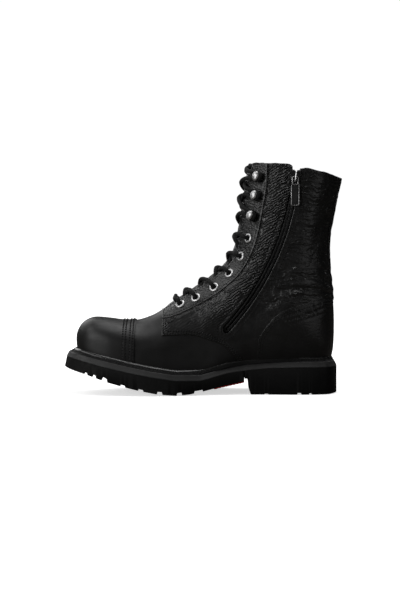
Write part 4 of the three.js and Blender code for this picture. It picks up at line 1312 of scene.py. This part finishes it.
def make_welt():
    """A stitched strip from the band's edge to the foot, with a rounded bead against the leather."""
    outer = lean_toe(loop_inset(SOLE_LOOP, BEVEL + 0.9))
    foot = foot_contour(4.0)
    nearest = np.argmin(((outer[:, None, :] - foot[None, :, :2]) ** 2).sum(-1), axis=1)
    inner = foot[nearest, :2]
    for _ in range(14):
        inner = (np.roll(inner, 1, axis=0) + 2 * inner + np.roll(inner, -1, axis=0)) / 4
    way = inner - outer

    lines = [over_sole(outer + way * share, height) for share, height in WELT_SECTION]
    rings = np.array(lines).transpose(1, 0, 2)
    shape = loft(rings[:, ::-1], closed_way=True)
    welt = build("storm_welt", shape, "sole_rubber", ["welt"])
    count = len(WELT_SECTION)
    # painted highlight: the bead's top takes the glossier, lighter rubber; its gloss is the rubber's own
    paint_faces(welt, "welt_rubber", [index % count in BEAD_GLOSS_AND_PAINTED_HIGHLIGHT for index in range(len(shape[0]))])
    around = list(range(len(outer))) + [0]
    outwards = np.column_stack([-way * 0.5, 0.8 * np.linalg.norm(way, axis=1)])
    stitches = thread_stitches(lines[STITCHED_LINE][around], outwards[around], pitch=3.8, length=3.0,
                               radius=0.55, lift=-0.1)
    build("welt_stitching", join_parts(stitches), "thread")


def make_arch_insert():
    v, tris = plan_piece(0.6, 12.0, 45.5, (0, 0.8))
    x = v[:, 0]
    ribs = 0.15 * np.sin(x * 1.6)
    low = np.column_stack([v[:, :2], tread(x) - 1.0 + ribs + 0.4 * (1 - smooth_step(0, 0.8, v[:, 2]))])
    high = np.column_stack([v[:, :2], tread(x) + 2.2])
    build("arch_insert_rubber", shell(low, high, tris), "red_rubber", ["arch_insert"])


def heel_floor(x):
    """The breast drops from the arch to the ground in a rounded corner."""
    return 17.4 * (1 - smooth_step(50.4, 52.8, x))


def make_soles():
    make_band()
    tread_block("forefoot_tread", "outsole_forefoot", -170, HEEL_BREAST - 0.4, tread, forefoot_grooves)
    tread_block("heel_block", "outsole_heel", HEEL_BREAST + 0.1, 170, heel_floor, heel_grooves, (50.6, 52.6))
    make_arch_insert()


# ------ metal and lace


# radius and height above the leather
EYELET_PROFILE = [
    (2.75, -2.6), (2.75, 1.2), (2.95, 1.9), (3.5, 2.3), (4.3, 2.35), (5.1, 2.0), (5.6, 1.35),
    (5.55, 0.95), (4.6, 0.95), (3.3, 0.9), (3.3, -2.0), (4.5, -2.4), (4.4, -2.8), (2.75, -2.6),
]
HOOK_BASE = [
    (0.01, 0.9), (5.3, 0.9), (5.9, 1.3), (6.0, 2.0), (5.5, 2.6), (4.9, 2.4), (4.5, 1.8), (3.0, 1.7),
    (2.2, 2.2), (0.01, 2.3),
]
HOOK_HEAD = [
    (0.01, 8.1), (4.2, 8.0), (5.2, 8.3), (5.5, 8.8), (5.0, 9.5), (3.7, 10.2), (1.9, 10.6), (0.01, 10.7),
]
# height, lean towards the throat, radius
HOOK_NECK = [(2.0, -0.6, 1.6), (3.4, -0.5, 1.3), (5.5, -0.2, 1.25), (7.2, 0.3, 1.6), (8.4, 0.8, 2.2)]


def make_eyelets():
    for name, side in SIDES.items():
        for number, pair in enumerate(eyelet_seats, 1):
            shape = loft(lathe(EYELET_PROFILE, 32, pair[side]), closed_ends=False)
            build(f"eyelet_ring_{name}_{number}", shape, "eyelet_metal", [f"eyelet_{name}_{number}"])


def make_hooks():
    """A riveted base ring, a curled neck and a domed head on each hook."""
    for name, side in SIDES.items():
        for number, pair in enumerate(hook_seats, 1):
            spot = pair[side]
            neck = [lathe([(radius, height)], 14, spot, shift)[0] for height, shift, radius in HOOK_NECK]
            low = join_parts([loft(lathe(HOOK_BASE, 28, spot)), loft(neck)])
            head = loft(lathe(HOOK_HEAD, 28, spot, 0.9, 0.74))
            build(f"hook_base_{name}_{number}", low, "black_metal")
            build(f"hook_head_{name}_{number}", head, "hook_metal", [f"hook_{name}_{number}"])


LACE_OVER = METAL_SEAT + LACE_RADIUS + 0.9
LACE_UNDER = -6.0
CROSS_LOW = -2.5
CROSS_HIGH = 2.0
LACE_STEP = 0.62
BRAID_TURN = 1.9
# x, distance from the middle, and z of each tucked end
TUCKED_END = [
    (52.5, 7, 252.6), (59.5, 7, 253.9), (65.5, 7, 250), (67, 7.7, 240), (65.5, 8.4, 215), (63, 9.1, 190),
    (60, 9.1, 165), (58, 8.4, 140), (58, 8.4, 122),
]


def throat_middle(u, height):
    """A place this high over the ridge between the eyelet rows."""
    ahead, here, behind = (surface_point(u + du, -1.0, 1) for du in (0.05, 0, -0.05))
    way = unit(ahead - behind)
    return here + height * np.array([-way[2], 0, way[0]])


def through_eyelet(spot, reach):
    return [
        throat_edge(spot.u - reach, spot.side).near(3.6),
        spot.near(5.3, 4.2, -0.8),
        spot.near(3.6, 0.6),
        spot.near(-3),
        spot.near(LACE_UNDER - 0.3, 2.6, 1),
        throat_edge(spot.u + reach, spot.side).near(LACE_UNDER + 0.6),
    ]


def round_hook(spot, reach):
    over = METAL_SEAT + 1.3 + LACE_RADIUS
    wrap = 1.6 + LACE_RADIUS
    return [
        throat_edge(spot.u - reach, spot.side).near(LACE_OVER - 1.5),
        spot.near(over, 1.5, -wrap),
        spot.near(over, -wrap + 0.6, -wrap + 1.6),
        spot.near(over, -wrap + 0.6, wrap - 1.6),
        spot.near(over, 1.5, wrap),
        throat_edge(spot.u + reach, spot.side).near(LACE_OVER - 1.5),
    ]


def lace_end(side):
    """One end of the lace, from the first eyelet on this side up to its tip inside the shaft."""
    stops = eyelet_seats + hook_seats
    last = len(stops) - 1
    route = []
    for index, pair in enumerate(stops):
        spot = pair[side]
        is_hook = index >= len(eyelet_seats)
        route += round_hook(spot, 0.22) if is_hook else through_eyelet(spot, 0.17)
        next_u = spot.u + 0.8 if index == last else stops[index + 1][-1].u
        on_top = (side < 0) == (index % 2 == 0)
        lift = (2 if is_hook else 0) + (CROSS_HIGH if on_top else CROSS_LOW)
        route.append(throat_middle((spot.u + next_u) / 2, 0.4 if index == last else lift))
        side = -side
    return route + [np.array([x, side * away, z]) for x, away, z in TUCKED_END]


def lace_route():
    bar = throat_middle(eyelet_seats[0][-1].u - 0.1, 2.6)
    return lace_end(1)[::-1] + [bar] + lace_end(-1)


LACE_PATH = resample(catmull(lace_route(), 10), LACE_STEP)


def make_lace():
    """The braided cord, with an aglet on each end."""
    path = LACE_PATH
    sides = 16
    angle = np.linspace(0, 2 * np.pi, sides, endpoint=False)[:, None]
    rings = []
    for k, (centre, across, up) in enumerate(zip(path, *frames_along(path))):
        turn = k * LACE_STEP * BRAID_TURN
        braid = np.sin(4 * angle + turn) * np.sin(4 * angle - turn)
        rings.append(circle(centre, across, up, LACE_RADIUS * (1 + 0.075 * braid), sides))
    lace = build("lace_braid", loft(rings), "lace", ["lace"])
    tips = [make_aglet("lateral", path[0], path[3]), make_aglet("medial", path[-1], path[-4])]


def make_aglet(side, end, before):
    path = [end + unit(end - before) * s for s in (0.3, 1.2, 12, 23, 24)]
    shape = rod(path, (1.7, 1.85, 1.75, 1.6, 1.1), 14)
    return build(f"aglet_tip_{side}", shape, "aglet", [f"aglet_{side}"])


# ------ zip


def zip_point(across, angle, y):
    a = math.radians(angle)
    r = ZIP_RADIUS + across
    return np.array([ZIP_CENTRE[0] + r * math.cos(a), y, ZIP_CENTRE[1] + r * math.sin(a)])


def arc_strip(section, top, end, steps=90):
    """Lofts a section of (across, y) points along the zip."""
    return loft([[zip_point(across, angle, y) for across, y in section]
                 for angle in np.linspace(top, end, steps)])


def strip_section(low, high, front, back):
    """A rectangle of (across, y) points, from heights measured from the zip's face."""
    front, back = ZIP_FACE + front, ZIP_FACE + back
    return [(low, front), (high, front), (high, back), (low, back)]


def make_zip():
    for name, side in (("front", -1), ("rear", 1)):
        tape = arc_strip(strip_section(side * 3.2, side * 13, 2.05, 2.65), ZIP_TOP, ZIP_END - 0.4)
        build(f"zip_tape_{name}_cloth", tape, "zip_tape", [f"zip_tape_{name}"])
        make_zip_coil(name, side)
        make_stop(f"zip_top_stop_{name}", side * 1.4, side * 3.0, ZIP_TOP)
    make_stop("zip_bottom_stop", -2.6, 2.6, ZIP_END)


def make_stop(name, low, high, angle):
    clip = arc_strip(strip_section(low, high, -0.1, 2.3), angle - 0.1, angle - 0.5, 3)
    build(f"{name}_clip", clip, "black_metal", [name])


COIL_PITCH = 1.5
COIL_SIDES = 6
CORD_SECTION = [(1.3, 1.2), (3.1, 1.0), (3.1, 2.3), (1.3, 2.2)]


def make_zip_coil(name, side):
    """One half of the chain: a cloth cord with a row of coil turns over it.

    A slit between the halves leaves room for the blade that joins the slider's two plates.
    """
    top, end = SLIDER_ANGLE - 0.1, ZIP_END
    turn = math.degrees(COIL_PITCH / ZIP_RADIUS)
    outward = np.array([0, 1.0, 0])
    parts = []
    for k in range(int((top - end) / turn)):
        angle = top - turn * (k + (0.5 if side > 0 else 0.0)) - turn / 4
        rings = []
        for t in np.linspace(0, 1, 6):
            across = side * (3.0 - 2.6 * t)
            y = ZIP_FACE + 1.2 - 1.15 * math.sin(math.pi * (0.15 + 0.7 * t))
            middle = zip_point(across, angle, y)
            along = unit(zip_point(across, angle + 0.05, y) - middle)
            thick = 0.42 if 0.05 < t < 0.95 else 0.3
            rings.append(circle(middle, along, outward, thick, COIL_SIDES))
        parts.append(loft(rings))
    cord = [(side * across, ZIP_FACE + back) for across, back in CORD_SECTION]
    parts.append(arc_strip(cord, top, end))
    build(f"zip_coil_{name}", join_parts(parts), "zip_teeth", [f"zip_chain_{name}"])


def plate(outline, y_front, y_back, round_by=0.35):
    """A flat plate with softened edges, from an outline of (x, z) points."""
    outline = np.asarray(outline, float)
    centre = outline.mean(0)
    rings = []
    size = np.linalg.norm(outline - centre, axis=1, keepdims=True)
    front = ((y_front, round_by), (y_front + round_by, 0))
    back = ((y_back - round_by, 0), (y_back, round_by))
    for y, inset in front + back:
        flat = centre + (outline - centre) * (1 - inset / size)
        rings.append(np.column_stack([flat[:, 0], np.full(len(flat), y), flat[:, 1]]))
    return loft(rings)


def at_zip(shape):
    """From the slider's own frame (x across, z along the zip) to its place at the top of the zip."""
    turn = math.radians(-SLIDER_ANGLE)
    x, y, z = shape[0].T
    centre = zip_point(0, SLIDER_ANGLE, 0)
    placed = np.column_stack([centre[0] + x * math.cos(turn) + z * math.sin(turn), y,
                              centre[2] - x * math.sin(turn) + z * math.cos(turn)])
    return placed, shape[1]


SLIDER_FACE = ZIP_FACE - 2.0
SLIDER_OUTLINE = [
    (-4.2, 6.6), (0, 6.0), (4.2, 6.6), (5.6, 5.2), (5.6, 1), (4.6, -5.6), (3.2, -6.6), (0, -6.8),
    (-3.2, -6.6), (-4.6, -5.6), (-5.6, 1), (-5.6, 5.2),
]
# y from the slider's face, and z
BRIDGE = [
    (0.6, 5.0), (-1.6, 5.0), (-3.4, 4.0), (-3.8, 1.0), (-3.8, -2.4), (-3.2, -5.0), (-1.0, -5.8),
    (0.6, -5.8),
]
SLIDER_LIP = [(5.3, 1.0, 4.6), (5.3, 1.2, 0.6), (4.3, 1.2, -5.4)]
PULL_PIVOT = (100.9, ZIP_FACE - 3.7, 239.6)


def box_outline(half, top, bottom):
    return [(-half, top), (half, top), (half, bottom), (-half, bottom)]


def make_slider():
    """Two plates joined by a thin blade, a bridge for the pull, and a rolled lip on each side."""
    outline = catmull(SLIDER_OUTLINE, 4, closed=True)
    body = join_parts([
        plate(outline, SLIDER_FACE, SLIDER_FACE + 1.3),
        plate(outline, ZIP_FACE + 3.0, ZIP_FACE + 4.0),
        plate(box_outline(0.25, 2.2, 4.6), SLIDER_FACE + 1.0, ZIP_FACE + 3.2, 0.05),
    ])
    build("zip_slider_body", at_zip(body), "slider_body", ["zip_slider"], "slider")
    trim = [rod(catmull([(0, SLIDER_FACE + y, z) for y, z in BRIDGE], 6), 0.85)]
    for side in (-1, 1):
        lip = [(side * x, SLIDER_FACE + y, z) for x, y, z in SLIDER_LIP]
        trim.append(rod(catmull(lip, 5), 0.45, 8))
    build("zip_slider_bridge", at_zip(join_parts(trim)), "zip_metal", body="slider")


def frame_ring(width, top, bottom, bar, corner):
    """A rectangular wire frame, hanging in the plane of the pull."""
    w = width / 2
    near = w - corner
    line = [(-near, top), (near, top), (w, top - corner), (w, bottom + corner), (near, bottom),
            (-near, bottom), (-w, bottom + corner), (-w, top - corner)]
    path = np.array([(x, 0, z) for x, z in line])
    out = np.array([0, 1.0, 0])
    rings = []
    for before, here, after in zip(np.roll(path, 1, axis=0), path, np.roll(path, -1, axis=0)):
        way = unit(unit(after - here) + unit(here - before))
        rings.append(circle(here, np.cross(way, out), out, bar, 10))
    return loft(rings, closed_way=True)


def make_pull():
    """A loop through the slider's bridge, with a framed tab below it that holds a panel with a raised middle.
    """
    wires = [frame_ring(6.4, 0.4, -8.4, 0.75, 1.2), frame_ring(8.2, -8.2, -30.9, 0.6, 0.8)]
    panel = [plate(box_outline(3.7, -9.4, -30.2), -0.35, 0.45, 0.15),
             plate(box_outline(2.4, -12, -27.5), -0.6, 0.1, 0.2)]
    points, faces = join_parts(wires)
    build("zip_pull_frame", (points + PULL_PIVOT, faces), "slider_metal", ["zip_pull"], "pull")
    points, faces = join_parts(panel)
    build("zip_pull_panel", (points + PULL_PIVOT, faces), "pull_panel", body="pull")


# ------ inside pieces kept from the CAD


def make_footbed():
    """A cushioned sole liner: fabric over foam, crowned at the middle, with a rounded edge all round."""
    inset = 5.2
    rim = foot_contour(8.0)
    flat = rim[:, :2] - inset * unit(rim[:, 3:5])
    flat = resample(np.vstack([flat, flat[:1]]), 4.0)[:-1]
    # share of the way to the middle line, and height
    levels = [(0.5, 0.0), (0.06, 0.0), (0.01, 0.5), (0.0, 1.6), (0.02, 2.9), (0.06, 3.6)]
    levels += [(share, 3.7 + 0.35 * math.sin(math.pi * share)) for share in np.linspace(0.12, 0.97, 18)]
    rings = []
    for share, height in levels:
        ring = flat + share * toward_middle(flat, -100, 92)
        quilted = 0.18 * np.cos(ring[:, 0] / 2.4) * np.cos(ring[:, 1] / 2.4) if height > 3.6 else 0
        rings.append(over_sole(ring, FOOTBED_LOW + height + quilted))
    footbed = build("footbed_cushion", loft(rings), "footbed", ["footbed"])


KEPT_NODES = {
    "cork_filler": "board", "steel_shank": "steel", "insole_board": "footbed", "steel_toe": "steel",
    "heel_stiffener": "board",
}


def dress_cad_nodes():
    for name, material in KEPT_NODES.items():
        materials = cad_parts[name].data.materials
        materials.clear()
        materials.append(MATERIALS[material])


# ------ camera, floor and light


def aim(made, place, way):
    made.location = place
    made.rotation_mode = "QUATERNION"
    made.rotation_quaternion = way.to_track_quat("-Z", "Y")


def make_camera():
    """A long lens from the zip side, a little above level."""
    view_height = 0.672
    elevation = math.radians(2.2)
    target = Vector((-3.4, -10, 103.6)) * MM
    data = bpy.data.cameras.new("camera")
    data.lens = 95.0
    data.sensor_width = 36.0
    distance = view_height / 2 * data.lens / (data.sensor_width / 2)
    back = Vector((0, -math.cos(elevation), math.sin(elevation)))
    camera = add_object("camera", data)
    aim(camera, target + back * distance, -back)
    bpy.context.scene.camera = camera


def by_ray(tree, lighting, seen, output):
    """One shader for what the camera sees, and another for the light that reaches the boot."""
    rays = node(tree, "ShaderNodeLightPath").outputs["Is Camera Ray"]
    mix = node(tree, "ShaderNodeMixShader", {0: rays, 1: lighting, 2: seen})
    tree.links.new(mix.outputs[0], tree.nodes[output].inputs["Surface"])


FLOOR_GAP = 0.0003


def make_floor():
    """Pale floor: it glows white far off, and takes soft shadows near the boot."""
    material, tree, shader = new_material("floor")
    feed(tree, shader, {
        "Base Color": ramp(tree, noise(tree, coordinates(tree), 3, 2), [(0.3, 0.90), (0.7, 0.93)]),
        "Roughness": 0.7,
        "Specular IOR Level": 0.1,
    })
    fade = node(tree, "ShaderNodeTexGradient", {"Vector": coordinates(tree, (0.95, 0.95, 0.95))},
                gradient_type="SPHERICAL").outputs["Fac"]
    glow = node(tree, "ShaderNodeEmission", {"Color": ramp(tree, fade, [(0.0, 1.02), (0.62, 0.6)])})
    both = node(tree, "ShaderNodeAddShader", {0: shader.outputs[0], 1: glow.outputs[0]})
    dim = node(tree, "ShaderNodeBsdfDiffuse", {"Color": (0.07, 0.065, 0.06, 1)})
    by_ray(tree, dim.outputs[0], both.outputs[0], "Material Output")
    mesh = bpy.data.meshes.new("floor")
    half = 12.0
    corners = [(x, y, 0) for x, y in box_outline(half, -half, half)]
    mesh.from_pydata(corners, [], [(0, 1, 2, 3)])
    mesh.materials.append(material)
    floor = add_object("floor", mesh)
    floor.location.z = -FLOOR_GAP


# place and size in metres, power in watts
LIGHTS = {
    "key": ((-1.35, -1.3, 0.5), (1.0, 0.7), 17),
    "left_top": ((-1.3, -0.25, 1.2), (0.8, 0.8), 7),
    "front_top": ((0.1, -0.3, 1.9), (1.4, 0.5), 13),
    "right_front": ((1.45, -1.5, 0.4), (1.8, 0.9), 3.5),
    "left_back": ((-0.9, 1.3, 0.95), (1.0, 0.9), 7),
    "overhead": ((0.1, 0.7, 1.8), (1.2, 0.8), 11),
    "right_back": ((1.0, 1.5, 1.4), (0.9, 0.9), 5),
}
LIT_PLACE = Vector((0, 0, 0.1))


def make_light():
    """A white backdrop that lights the boot only faintly, and seven soft boxes."""
    world = bpy.data.worlds.new("studio")
    world.use_nodes = True
    bpy.context.scene.world = world
    tree = world.node_tree
    seen = tree.nodes["Background"]
    feed(tree, seen, {"Color": (1, 1, 1, 1), "Strength": 1.02})
    soft = node(tree, "ShaderNodeBackground", {"Color": (1, 1, 1, 1), "Strength": 0.02})
    by_ray(tree, soft.outputs[0], seen.outputs[0], "World Output")
    for name, (place, size, power) in LIGHTS.items():
        data = bpy.data.lights.new(name, "AREA")
        data.shape = "RECTANGLE"
        data.size, data.size_y = size
        data.energy = power
        data.spread = math.radians(180)
        aim(add_object(name, data), place, LIT_PLACE - Vector(place))
    bpy.context.scene.view_settings.view_transform = "Standard"


# ------ the boot

make_camera()
make_lace()
seams = make_uppers()
make_linings()
make_soles()
make_welt()
build("stitching", join_parts(seams), "thread")
make_eyelets()
make_hooks()
make_zip()
make_slider()
make_pull()
make_footbed()
dress_cad_nodes()
make_floor()
make_light()
